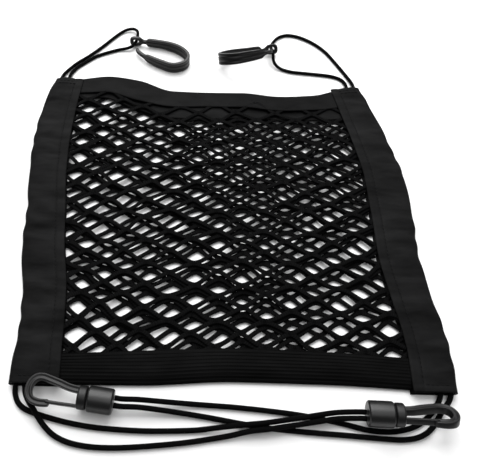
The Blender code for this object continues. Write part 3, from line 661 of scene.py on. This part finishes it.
def elastic_cloth(name, base, rib, gloss):
    """A knitted elastic: fine cords lengthwise, crossed by weft threads."""
    finish = Finish(name, gloss, 0.04)
    along, across = finish.map()
    cords = (across / rib).sine().size()
    weft = (along / WEFT_THREAD).sine() * 0.5 + 0.5
    slub = finish.noise(300.0, 3.0)
    height = cords * 0.45 + weft * 0.3 + slub * 0.25
    # Broad streaks of painted shade and light stand in for the elastic's wrinkles; they also vary the
    # roughness.
    painted_streak_shade = finish.streaks((30.0, 90.0, 30.0))
    # The colour also darkens with the relief: painted shade between the cords and weft threads.
    finish.colour(height * 0.4 + painted_streak_shade * 0.6, base, 0.35, 1.9)
    finish.roughness(gloss + 0.05 - painted_streak_shade * 0.15)
    finish.relief(height, 0.15 * MM)
    return finish.material


def moulded_plastic(name, base, roughness, specular):
    """Satin nylon with faint flow marks and a fine grain."""
    finish = Finish(name, roughness, specular)
    grain = finish.noise(900.0, 3.0)
    flow = finish.noise(70.0)
    finish.colour(flow, base, 0.8, 1.3)
    finish.roughness(roughness - 0.06 + flow * 0.12)
    finish.relief(grain, 0.03 * MM)
    return finish.material


def sewing_thread(settings):
    """Twisted thread: slanting plies along each stitch."""
    finish = Finish("sewing_thread", 0.6, 0.06)
    along, around = finish.map()
    plies = (along / PLY + around).sine() * 0.5 + 0.5
    # The colour darkens with the plies' relief: painted shade between the plies.
    finish.colour(plies, settings.thread, 0.6, 1.4)
    finish.relief(plies, 0.05 * MM)
    return finish.material


# Cords

def lay_cord(name, route, diameter, material, node):
    """A round section carried along the route: centre + side cos a + up sin a at every angle a."""
    line = smooth_line(route, 1.4 * MM)
    angle = circle(20)
    radius = diameter / 2
    rings = sections(line, unit(np.gradient(line, axis=0)), radius * np.cos(angle), radius * np.sin(angle))
    run = path_length(line)
    cord = place_object(name, carried(name, rings[None], run[None]), material, node)


def barrel_route(route, place, offset):
    """A cord's route in metres, with its last two points straight into a barrel's face."""
    points = [Vector(point) * MM for point in route]
    inward = place.to_3x3() @ Vector((1, 0, 0))
    aside = Vector((0, 0, 1)).cross(inward).normalized()
    above = inward.cross(aside)
    face = place.translation + aside * offset - above * CORD_DROP - inward * GAP
    return [tuple(point) for point in points] + [tuple(face - inward * STRAIGHT_IN), tuple(face)]


class PocketCords(bpy.types.Operator):
    """Make the two hook loops and the four barrel strands of braided elastic cord"""
    bl_idname = "object.pocket_cords"
    bl_label = "Cords"

    def execute(self, context):
        settings = context.scene.pocket_cord
        material = braided_yarn(settings)
        for end, route in (("top_left", TOP_LEFT_ROUTE), ("top_right", TOP_RIGHT_ROUTE)):
            lay_cord(end + "_loop", np.array(route) * MM, settings.loop, material, end + "_cord")
        for corner, strand, route, end, offset in STRANDS:
            lay_cord(f"{corner}_strand_{strand}", barrel_route(route, POSES[end], offset),
                     settings.diameter, material, f"{corner}_cord_{strand}")
        return {"FINISHED"}


# Hooks

def transformed(points, place):
    """Points of a hook's own frame, put where the hook lies."""
    turn = np.array(place.to_3x3())
    return points @ turn.T + np.array(place.translation)


def groove_points(half, depth):
    """A shallow trough, as place and depth: down to a floor of 0.4 of its width and up again."""
    return (half, 0.0), (half * 0.4, depth), (-half * 0.4, depth), (-half, 0.0)


def ribbon_section(thickness, edge, broad=None, narrow=None):
    """A ribbon's section, as across, share of the half width, and trim, turning outwards.

    Every corner is an arc of the edge radius. A groove, as its half width and depth, runs along the
    middle of each narrow face, or as a pair along each broad one.
    """
    arc = np.radians(np.linspace(0.0, 90.0, 4))
    inset = thickness / 2 - edge
    points = []
    for turn in range(4):
        sign_across = 1 if turn in (0, 3) else -1
        sign_wide = 1 if turn in (0, 1) else -1
        points += [(sign_across * inset + edge * math.cos(a), sign_wide,
                    edge * (math.sin(a) - sign_wide)) for a in arc + turn * math.pi / 2]
        if narrow and turn in (0, 2):
            points += [(sign_wide * at, sign_wide, -sign_wide * depth)
                       for at, depth in groove_points(*narrow)]
        if broad and turn in (1, 3):
            points += [(-sign_wide * (thickness / 2 - depth), share, sign_wide * at)
                       for share in (0.42 * sign_wide, -0.42 * sign_wide)
                       for at, depth in groove_points(*broad)]
    return np.array(points[::-1])


def ribbon_mesh(name, line, section, place, spacing):
    """A section carried along a bent centreline in the hook's own plane, its far end rounded off."""
    rows = smooth_line(np.array(line) * MM, spacing)
    centre, half = rows[:, :2], rows[:, 2]
    run = path_length(centre)
    tangent = unit(np.gradient(centre, axis=0))
    normal = np.stack([-tangent[:, 1], tangent[:, 0]], axis=-1)
    taper = np.sqrt(1 - (1 - np.clip((run[-1] - run) / (1.2 * MM), 0.06, 1.0)) ** 2)
    across = section[None, :, 0] * taper[:, None]
    wide = (section[None, :, 1] * half[:, None] + section[None, :, 2]) * (0.6 + 0.4 * taper)[:, None]
    flat = centre[:, None, :] + normal[:, None, :] * across[..., None]
    rings = transformed(np.concatenate([flat, wide[..., None]], axis=-1), place)
    return carried(name, rings[None], run[None])


def bush_profile(start, length, radius, rim):
    """A bush with bevelled rims, as along, radius and how far each corner is rounded."""
    stop = start + length
    return ((start, 0.2 * MM, 0.0), (start, radius - rim, 0.3 * MM), (start + rim, radius, 0.5 * MM),
            (stop - rim, radius, 0.5 * MM), (stop, radius - rim, 0.3 * MM), (stop, 0.2 * MM, 0.0))


def turned_mesh(name, corners, place):
    """A profile turned about the hook's axis, its ends closed: along, radius cos a, radius sin a."""
    profile = smooth_profile(np.array(corners))
    along, radius = profile[:, None, 0], profile[:, None, 1]
    angle = circle(64)
    rings = transformed(points_at(along, -radius * np.cos(angle), radius * np.sin(angle)), place)
    return carried(name, rings[None], path_length(profile)[None])


def smooth_profile(corners):
    """A turned profile whose corners are rounded by arcs of the third column's radius."""
    points = [corners[0, :2]]
    t = np.linspace(0.0, 1.0, 6)[:, None]
    for before, corner, after in zip(corners, corners[1:], corners[2:]):
        back = unit(before[:2] - corner[:2]) * corner[2]
        on = unit(after[:2] - corner[:2]) * corner[2]
        points += list(corner[:2] + back * (1 - t) ** 2 + on * t ** 2)
    points.append(corners[-1, :2])
    return np.array(points)


def eye_mesh(name, place):
    """The flat ring of a top hook's eye: a rounded square outline round a hole.

    At angle a the ring reaches from the hole to a superellipse of power 3, and its section is a
    superellipse of power 5, so its faces are flat and its rims round.
    """
    end, root, beside = EYE_REACH
    angle = circle(56)
    reach = np.where(np.cos(angle) < 0, end, root)
    outer = (np.abs(np.cos(angle) / reach) ** 3 + np.abs(np.sin(angle) / beside) ** 3) ** (-1 / 3)
    inner = EYE_HOLE / 2
    turn = np.linspace(2 * math.pi, 0.0, 20, endpoint=False)
    wide, thick = (np.sign(wave) * np.abs(wave) ** (2 / 5) for wave in (np.cos(turn), np.sin(turn)))
    radial = (outer + inner)[:, None] / 2 + (outer - inner)[:, None] / 2 * wide
    rings = points_at(radial * np.cos(angle)[:, None], thick * RIBBON / 2, radial * np.sin(angle)[:, None])
    rings = transformed(np.concatenate([rings, rings[:1]], axis=0), place)
    run = np.linspace(0.0, 30 * MM, len(angle) + 1)
    return carried(name, rings[None], run[None], caps=False)


class PocketHooks(bpy.types.Operator):
    """Make the two top hooks, and the two bottom hooks with their barrels"""
    bl_idname = "object.pocket_hooks"
    bl_label = "Hooks"

    def execute(self, context):
        settings = context.scene.pocket_hook
        glossy = moulded_plastic("moulded_hook", settings.colour, 0.42, 0.3)
        satin = moulded_plastic("moulded_barrel", settings.colour, 0.38, 0.44)
        flat = ribbon_section(RIBBON, settings.edge, broad=BROAD_GROOVE)
        bar = ribbon_section(BAR, settings.edge, narrow=NARROW_GROOVE)
        tongue = ribbon_section(GATE_THICKNESS, GATE_EDGE)
        for end in ("top_left", "top_right"):
            place = POSES[end]
            parts = [ribbon_mesh("ribbon", TOP_HOOK_LINE, flat, place, 0.9 * MM), eye_mesh("eye", place)]
            join_meshes(end + "_clip", parts, glossy, end + "_hook")
        barrel = bush_profile(0.0, BARREL_LENGTH, BARREL_RADIUS, BARREL_RIM)
        start = BARREL_LENGTH + GAP
        collar = bush_profile(start, COLLAR_LENGTH, COLLAR_RADIUS, COLLAR_RIM)
        gate_line = [(*point, GATE_WIDTH / 2 / MM) for point in GATE_LINE]
        for end in ("bottom_left", "bottom_right"):
            place = POSES[end]
            mesh = turned_mesh(end + "_tube", barrel, place)
            place_object(end + "_tube", mesh, satin, end + "_barrel")
            root = place @ Matrix.Translation((start + COLLAR_LENGTH, 0, 0))
            parts = [turned_mesh("collar", collar, place),
                     ribbon_mesh("bar", BOTTOM_HOOK_LINE, bar, root, 0.8 * MM),
                     ribbon_mesh("gate", gate_line, tongue, root, 1.5 * MM)]
            join_meshes(end + "_snap", parts, glossy, end + "_hook")
        return {"FINISHED"}


# Nets and mouth bands

def ripple(x, y):
    """Height of the loose waves in the upper layers.

    Two cosine waves, one across and one up, each bent by a slow sine of the other way. Both fade out
    towards the sewn edges.
    """
    from_sides = np.minimum(x - side("left_inner", y), side("right_inner", y) - x)
    from_bottom = y - bottom("upper", x)
    free = eased((from_sides - RIPPLE_START) / RIPPLE_FADE)
    free = free * eased((from_bottom - RIPPLE_START) / RIPPLE_FADE)
    wave = 0.5 - 0.5 * np.cos(2 * math.pi * (x * 8.1 + 1.3 * np.sin(9.0 * y)))
    cross = 0.5 - 0.5 * np.cos(2 * math.pi * (y * 6.3 + 0.12 - 1.1 * np.sin(7.0 * x)))
    return RIPPLE_HEIGHT * free * (0.55 * wave + 0.45 * cross)


def layer_height(layer, x, y):
    """The underside of a layer: its level, and its share of the ripple."""
    return layer["level"] * LAYER + layer["ripple"] * ripple(x, y)


def shares(value, stops):
    """How much of each stop a value takes, linearly between its two neighbours."""
    return np.stack([np.interp(value, stops, own) for own in np.eye(len(stops))], axis=-1)


def patch(x, y, centre, reach):
    """A soft patch: 1 at its centre, fading as a bell curve over its reach each way."""
    return np.exp(-((x - centre[0]) / reach[0]) ** 2 - ((y - centre[1]) / reach[1]) ** 2)


def stray(p, q, level, size, *waves):
    """How far a knot strays: a size times two waves that slant over the lattice's steps."""
    first, second = (np.sin(across * p + up * q + turn * level) for across, up, turn in waves)
    return size * first * second


def net_place(layer, settings, p, q):
    """Where a point of the lattice lies: steps across and up, drifted, pulled, swayed and strayed.

    The drift is the layer's own, and fades out where the nets are held together. The pull raises the
    diamonds in the taut patch, and moves those near the left edge inwards. The sway is a slow wave
    each way, and every knot strays a little from it.
    """
    level = layer["level"]
    x, y = p * settings.step_across, q * settings.step_up
    held = patch(x, y, *HELD_PATCH)
    drift = np.einsum("...r,...c,rck->...k", shares(y, DRIFT_ROWS), shares(x, DRIFT_COLUMNS),
                      np.array(layer["drift"])) * MM
    drift = drift * (1 - held)[..., None]
    x, y = x + drift[..., 0], y + drift[..., 1]
    y = y + TAUT_LIFT * patch(x, y, *TAUT_PATCH)
    x = x + LEFT_PULL * np.exp(-(x - LEFT_EDGE) / LEFT_FADE)
    sway = SWAY[0] * np.sin(y * SWAY[1] + SWAY[2] * level)
    lift = LIFT[0] * np.sin(x * LIFT[1] + LIFT[2] * level)
    return x + sway + stray(p, q, level, *STRAY_ACROSS), y + lift + stray(p, q, level, *STRAY_UP)


def net_mesh(layer, settings):
    """Strands between the knots of a lattice, as flattened tubes with a trough along their middle.

    A strand climbs or falls one step over one step across, steeper at its middle than at its knots,
    and widens towards them. Its height follows the layer's ripple.
    """
    name = layer["name"]
    i, j = np.meshgrid(np.arange(-13, 13), np.arange(-24, 24), indexing="ij")
    knots = (i + j) % 2 == 1
    i, j = np.tile(i[knots], 2), np.tile(j[knots], 2)
    way = np.repeat((1.0, -1.0), len(i) // 2)
    x, y = net_place(layer, settings, i + 0.5, j + way * 0.5)
    keep = (x > side("left_inner", y) - NET_TUCK) & (x < side("right_inner", y) + NET_TUCK)
    keep &= (y > bottom("fold", x) + NET_SEWN_IN) & (y < mouth(name + "_low", x) + NET_LAP)
    i, j, way = i[keep], j[keep], way[keep]
    t = np.linspace(0.0, 1.0, 8)
    climb = 0.55 * t + 0.45 * eased(t)
    x, y = net_place(layer, settings, i[:, None] + t, j[:, None] + way[:, None] * climb)
    line = points_at(x, y, layer_height(layer, x, y) + SHEET / 2)
    angle = circle(12)
    across = settings.strand / 2 * (1 + 0.3 * np.abs(2 * t - 1) ** 3)[:, None] * np.cos(angle)
    thick = YARN * np.sin(angle) * (1 - 0.25 * bell(np.cos(angle), 0.3))
    rings = sections(line, unit(np.gradient(line, axis=1)), across, thick)
    step = math.hypot(settings.step_across, settings.step_up)
    around = np.abs(np.linspace(0.0, 1.0, len(angle) + 1) * 2 - 1) / 2
    return carried(name + "_mesh", rings, np.broadcast_to(t * step, x.shape), around)


class PocketNets(bpy.types.Operator):
    """Make the three layers of diamond net"""
    bl_idname = "object.pocket_nets"
    bl_label = "Nets"

    def execute(self, context):
        settings = context.scene.pocket_net
        material = knitted_yarn(settings)
        for layer in NETS:
            name = layer["name"]
            net = place_object(name + "_mesh", net_mesh(layer, settings), material, name + "_net")
        return {"FINISHED"}


def thicken(thing, offset):
    """Give an open surface the thickness of its cloth."""
    cloth = thing.modifiers.new("Cloth", "SOLIDIFY")
    cloth.thickness = SHEET
    cloth.offset = offset
    cloth.use_even_offset = True


def strip_mesh(name, grid):
    """A surface over rows x columns of points, mapped by distance along and across."""
    middle = grid[:, grid.shape[1] // 2]
    cross = grid[grid.shape[0] // 2]
    return carried(name, grid[None], path_length(middle)[None], path_length(cross), wrap=False, caps=False)


class PocketMouthBands(bpy.types.Operator):
    """Make the flat elastic band along the mouth of each net"""
    bl_idname = "object.pocket_mouth_bands"
    bl_label = "Mouth bands"

    def execute(self, context):
        settings = context.scene.pocket_band
        material = elastic_cloth("smooth_elastic", settings.elastic, 1.5 * MM, 0.6)
        across = np.linspace(MOUTH_LEFT, MOUTH_RIGHT, 160)[:, None]
        share = np.linspace(0.0, 1.0, 14)
        # From the low edge straight up to the top edge, all at the net's height under the low edge.
        for layer in NETS:
            name = layer["name"]
            low, top = mouth(name + "_low", across), mouth(name + "_top", across)
            grid = points_at(across, low + (top - low) * share, layer_height(layer, across, low))
            mesh = strip_mesh(name + "_mouth", grid)
            band = place_object(name + "_mouth", mesh, material, name + "_top_band")
            thicken(band, 1)
        return {"FINISHED"}


# Bottom band

class PocketBottomBand(bpy.types.Operator):
    """Make the wide ribbed elastic that is folded round the nets' bottom edges"""
    bl_idname = "object.pocket_bottom_band"
    bl_label = "Bottom band"

    def execute(self, context):
        settings = context.scene.pocket_band
        u = np.linspace(0.0, 1.0, 140)
        ends = bottom.values[[0, -1], 0]
        # The folded section, carried from side to side between the sewn edge and the fold.
        columns = []
        for from_fold, height, reach in BOTTOM_SECTION:
            widen = reach * TUCK - (1 - reach) * 3 * GAP
            up = bottom("upper" if from_fold is None else "fold", ends)
            low_end = side("left_inner", up)[0] - widen
            high_end = side("right_inner", up)[1] + widen
            across = low_end + (high_end - low_end) * u
            fold = bottom("fold", across)
            y = bottom("upper", across) if from_fold is None else fold + from_fold * MM
            columns.append(points_at(across, y, height * MM))
        coarse = np.stack(columns, axis=1)
        run = path_length(coarse[len(u) // 2])
        even = np.linspace(0.0, run[-1], 150)
        grid = np.stack([at_distances(row, run, even) for row in coarse])
        along = np.gradient(grid, axis=1)
        normal = unit(np.cross((1.0, 0.0, 0.0), along))
        # The ribs: grooves as squared cosines a rib apart, pressed in square to the surface, and of uneven
        # depth as slow sines along and across.
        uneven = np.sin(u * 31.0)[:, None] * np.sin(even * 170.0) + np.sin(u * 9.0 + 2.0)[:, None]
        groove = 0.5 + 0.5 * np.cos(2 * math.pi * even / settings.rib)
        depth = RIB_DEPTH * (0.75 + 0.16 * uneven)
        mesh = strip_mesh("bottom_elastic", grid - normal * (depth * groove ** 2)[:, :, None])
        # Painted shade: the same elastic as the mouth bands, darkened to 0.4 so the band looks as dark as
        # its shaded, rolled front.
        material = elastic_cloth("ribbed_elastic", shade(settings.elastic, 0.4), settings.rib, 0.7)
        band = place_object("bottom_elastic", mesh, material, "bottom_band")
        thicken(band, -1)
        return {"FINISHED"}


# Side bands

def pucker_phase(up, widest):
    """Puckers passed between the widest place, where a crest begins, and this height."""
    turns = (up - widest) / PUCKER_PITCH
    return turns + PUCKER_WANDER * np.sin(turns * 1.9)


def side_edges(label, up):
    """Axis of the fold, inner edge, height and swell of a side band at heights up."""
    phase = pucker_phase(up, WIDEST[label])
    crest = 0.5 - 0.5 * np.cos(2 * math.pi * phase)
    outer = side(label + "_outer", up) - HAND[label] * SCALLOP_DEPTH * crest
    height = BAND_HEIGHT + LAYER * eased((RIDE_START - up) / (RIDE_START - RIDE_END))
    calm = eased((up - RIDE_END) / (2 * (RIDE_START - RIDE_END)))
    puff = 1 - np.abs(np.cos(math.pi * phase)) ** 3
    swell = PUCKER_HEIGHT * (0.25 + 0.75 * calm) * puff
    return outer - HAND[label] * height / 2, side(label + "_inner", up), height, swell


def slanted(label, up, share):
    """Heights up, brought down near the top end towards the inner edge."""
    slant = eased((up - DROP_START) / (side.values[-1, 0] - DROP_START))
    return up - TOP_DROP[label] * slant * share


def creases(label, up, share):
    """Depth of the shallow troughs that run across a band at uneven heights.

    Each is a bell curve along the band. It leans a little, and it fades away from its own middle.
    """
    seed, count = CREASES[label]
    chance = np.random.default_rng(seed)
    off, lean, width, depth, middle, reach = (chance.uniform(*span, count) * measure
                                              for span, measure in CREASE_DRAWS)
    at = np.linspace(*side.values[[0, -1], 0], count) + off
    up, share = (value[..., None] for value in np.broadcast_arrays(up, share))
    troughs = depth * bell(up - at - lean * share, width) * bell(share - middle, reach)
    return np.sum(troughs, axis=-1) * np.sin(math.pi * np.clip(share[..., 0], 0.0, 1.0)) ** 0.5


def upper_leaf(label, up, share):
    """Outer face of a side band's upper leaf, share 0 at the fold and 1 at the inner edge.

    The leaf rises in puffs between creases, highest a third of the way in. A seam presses it down
    near the inner edge, another at each end.
    """
    axis, inner, height, swell = side_edges(label, up)
    x = axis + (inner - axis) * share
    from_inner = np.abs(inner - x)
    loose = np.clip(share / (1 - SEAM_INSET / np.abs(inner - axis)), 0.0, 1.0)
    rise = np.sin(math.pi * loose ** 0.75)
    seam = 0.30 * MM * bell(from_inner - SEAM_INSET, SEAM_WIDTH)
    hem = 0.40 * MM * bell(up - HEM_SEAM, SEAM_WIDTH)
    tack = 0.35 * MM * bell(up - TACKS[0], SEAM_WIDTH)
    lip = LIP_DROP * (1 - eased(from_inner / LIP_WIDTH))
    z = height + swell * rise - creases(label, up, share) - seam - hem - tack - lip
    return points_at(x, slanted(label, up, share), z)


def side_band_mesh(name, label):
    """A folded strip: under leaf, round outer fold and puckered upper leaf."""
    up = np.linspace(side.values[0, 0], side.values[-1, 0], 236)[:, None]
    axis, inner, height, _ = side_edges(label, up)
    radius = height / 2
    under = np.linspace(1.0, 0.0, 8, endpoint=False)
    leaf = points_at(axis + (inner - axis) * under, slanted(label, up, under), 0.0)
    angle = np.radians(np.linspace(-90.0, 90.0, 13, endpoint=False))
    fold = points_at(axis + HAND[label] * radius * np.cos(angle), up, radius + radius * np.sin(angle))
    top = upper_leaf(label, up, np.linspace(0.0, 1.0, 46))
    grid = np.concatenate([leaf, fold, top], axis=1)
    return strip_mesh(name, grid if HAND[label] > 0 else grid[:, ::-1])


def stitch_mesh(name, lines, stitch):
    """Stitches along lines: each a short rounded thread that dips into the cloth at both ends."""
    starts, stops = [], []
    for line in lines:
        run = path_length(line)
        at = np.arange(0.5 * stitch, run[-1] - stitch, stitch * 1.25)
        starts.append(at_distances(line, run, at))
        stops.append(at_distances(line, run, at + stitch))
    start = np.concatenate(starts)
    way = np.concatenate(stops) - start
    t = np.array([0.0, 0.12, 0.5, 0.88, 1.0])
    centre = start[:, None] + way[:, None] * t[:, None]
    centre[..., 2] += 0.28 * MM * np.sin(math.pi * t) - 0.02 * MM
    tangent = np.broadcast_to(unit(way)[:, None], centre.shape)
    angle = circle(6)
    radius = STITCH_RADIUS * np.array([0.35, 0.85, 1.0, 0.85, 0.35])[:, None]
    rings = sections(centre, tangent, radius * np.cos(angle), radius * np.sin(angle))
    return carried(name, rings, np.broadcast_to(t * stitch, centre.shape[:2]))


def side_seams(label):
    """The lines that are sewn on a side band: along the inner edge, the bottom hem and the top tacks."""
    up = np.linspace(HEM_SEAM, TACKS[0], 240)
    axis, inner, _, _ = side_edges(label, up)
    share = 1 - SEAM_INSET / np.abs(inner - axis)
    across = np.linspace(0.04, share[0], 40)
    return [upper_leaf(label, up, share)] + [upper_leaf(label, np.full_like(across, height), across)
                                             for height in (HEM_SEAM, *TACKS)]


class PocketSideBands(bpy.types.Operator):
    """Make the two woven bands that are folded round the sides, and their stitching"""
    bl_idname = "object.pocket_side_bands"
    bl_label = "Side bands"

    def execute(self, context):
        settings = context.scene.pocket_band
        material = woven_cloth(settings)
        thread = sewing_thread(settings)
        for label in ("left", "right"):
            name = label + "_woven_band"
            mesh = side_band_mesh(name, label)
            band = place_object(name, mesh, material, label + "_side_band")
            thicken(band, -1)
            mesh = stitch_mesh(label + "_stitches", side_seams(label), settings.stitch)
            stitches = place_object(label + "_stitches", mesh, thread, None)
        return {"FINISHED"}


# Stage

def make_camera():
    """The camera, above the bottom edge and looking at the mouth."""
    data = bpy.data.cameras.new("camera")
    data.sensor_width = 36.0
    data.lens = LENS
    data.shift_x = SIDE_SHIFT
    data.clip_start = 0.01
    camera = bpy.data.objects.new("camera", data)
    camera.matrix_world = Matrix.Translation(CAMERA_PLACE)
    for angle, axis in CAMERA_TURNS:
        camera.matrix_world = camera.matrix_world @ Matrix.Rotation(math.radians(angle), 4, axis)
    return camera


class PocketStage(bpy.types.Operator):
    """Make the floor, the soft lights and the camera"""
    bl_idname = "scene.pocket_stage"
    bl_label = "Stage"

    def execute(self, context):
        settings = context.scene.pocket_stage
        finish = Finish("floor", 0.9, 0.1)
        finish.colour(finish.noise(3.0), settings.floor, 0.995, 1.0)
        mesh = bpy.data.meshes.new("floor")
        half, low = 3.0, -0.2 * MM
        mesh.from_pydata([(-half, -half, low), (half, -half, low), (half, half, low), (-half, half, low)],
                         [], [(0, 1, 2, 3)])
        linked("floor", mesh, finish.material)
        world = bpy.data.worlds.new("studio")
        world.use_nodes = True
        light = world.node_tree.nodes["Background"].inputs
        light["Color"].default_value = (1.0, 1.0, 1.0, 1.0)
        light["Strength"].default_value = settings.sky
        context.scene.world = world
        context.scene.view_settings.view_transform = "Standard"
        for name, where, size, power in LAMPS:
            lamp = bpy.data.lights.new(name, "AREA")
            lamp.size = size
            lamp.energy = power * settings.lamps
            thing = bpy.data.objects.new(name, lamp)
            thing.location = where
            thing.rotation_euler = (-Vector(where)).to_track_quat("-Z", "Y").to_euler()
            context.scene.collection.objects.link(thing)
        camera = make_camera()
        context.scene.collection.objects.link(camera)
        context.scene.camera = camera
        return {"FINISHED"}


STEPS = (PocketHooks, PocketCords, PocketNets, PocketMouthBands, PocketBottomBand, PocketSideBands,
         PocketStage)
SETTINGS = {
    "pocket_cord": PocketCordSettings,
    "pocket_net": PocketNetSettings,
    "pocket_band": PocketBandSettings,
    "pocket_hook": PocketHookSettings,
    "pocket_stage": PocketStageSettings,
}


class PocketPanel(bpy.types.Panel):
    """Lists the pieces' makers and their settings"""
    bl_idname = "VIEW3D_PT_net_pocket"
    bl_label = "Net Pocket"
    bl_space_type = "VIEW_3D"
    bl_region_type = "UI"
    bl_category = "Net Pocket"

    def draw(self, context):
        for step in STEPS:
            self.layout.operator(step.bl_idname)
        for name, group in SETTINGS.items():
            box = self.layout.box()
            for prop in group.__annotations__:
                box.prop(getattr(context.scene, name), prop)


def register():
    for name, group in SETTINGS.items():
        bpy.utils.register_class(group)
        setattr(bpy.types.Scene, name, bpy.props.PointerProperty(type=group))
    for kind in (*STEPS, PocketPanel):
        bpy.utils.register_class(kind)


def unregister():
    for kind in reversed((*STEPS, PocketPanel)):
        bpy.utils.unregister_class(kind)
    for name, group in reversed(SETTINGS.items()):
        delattr(bpy.types.Scene, name)
        bpy.utils.unregister_class(group)


def main():
    register()
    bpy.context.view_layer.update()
    bpy.ops.object.pocket_hooks()
    bpy.ops.object.pocket_cords()
    bpy.ops.object.pocket_nets()
    bpy.ops.object.pocket_mouth_bands()
    bpy.ops.object.pocket_bottom_band()
    bpy.ops.object.pocket_side_bands()
    bpy.ops.scene.pocket_stage()


if __name__ == "__main__":
    main()
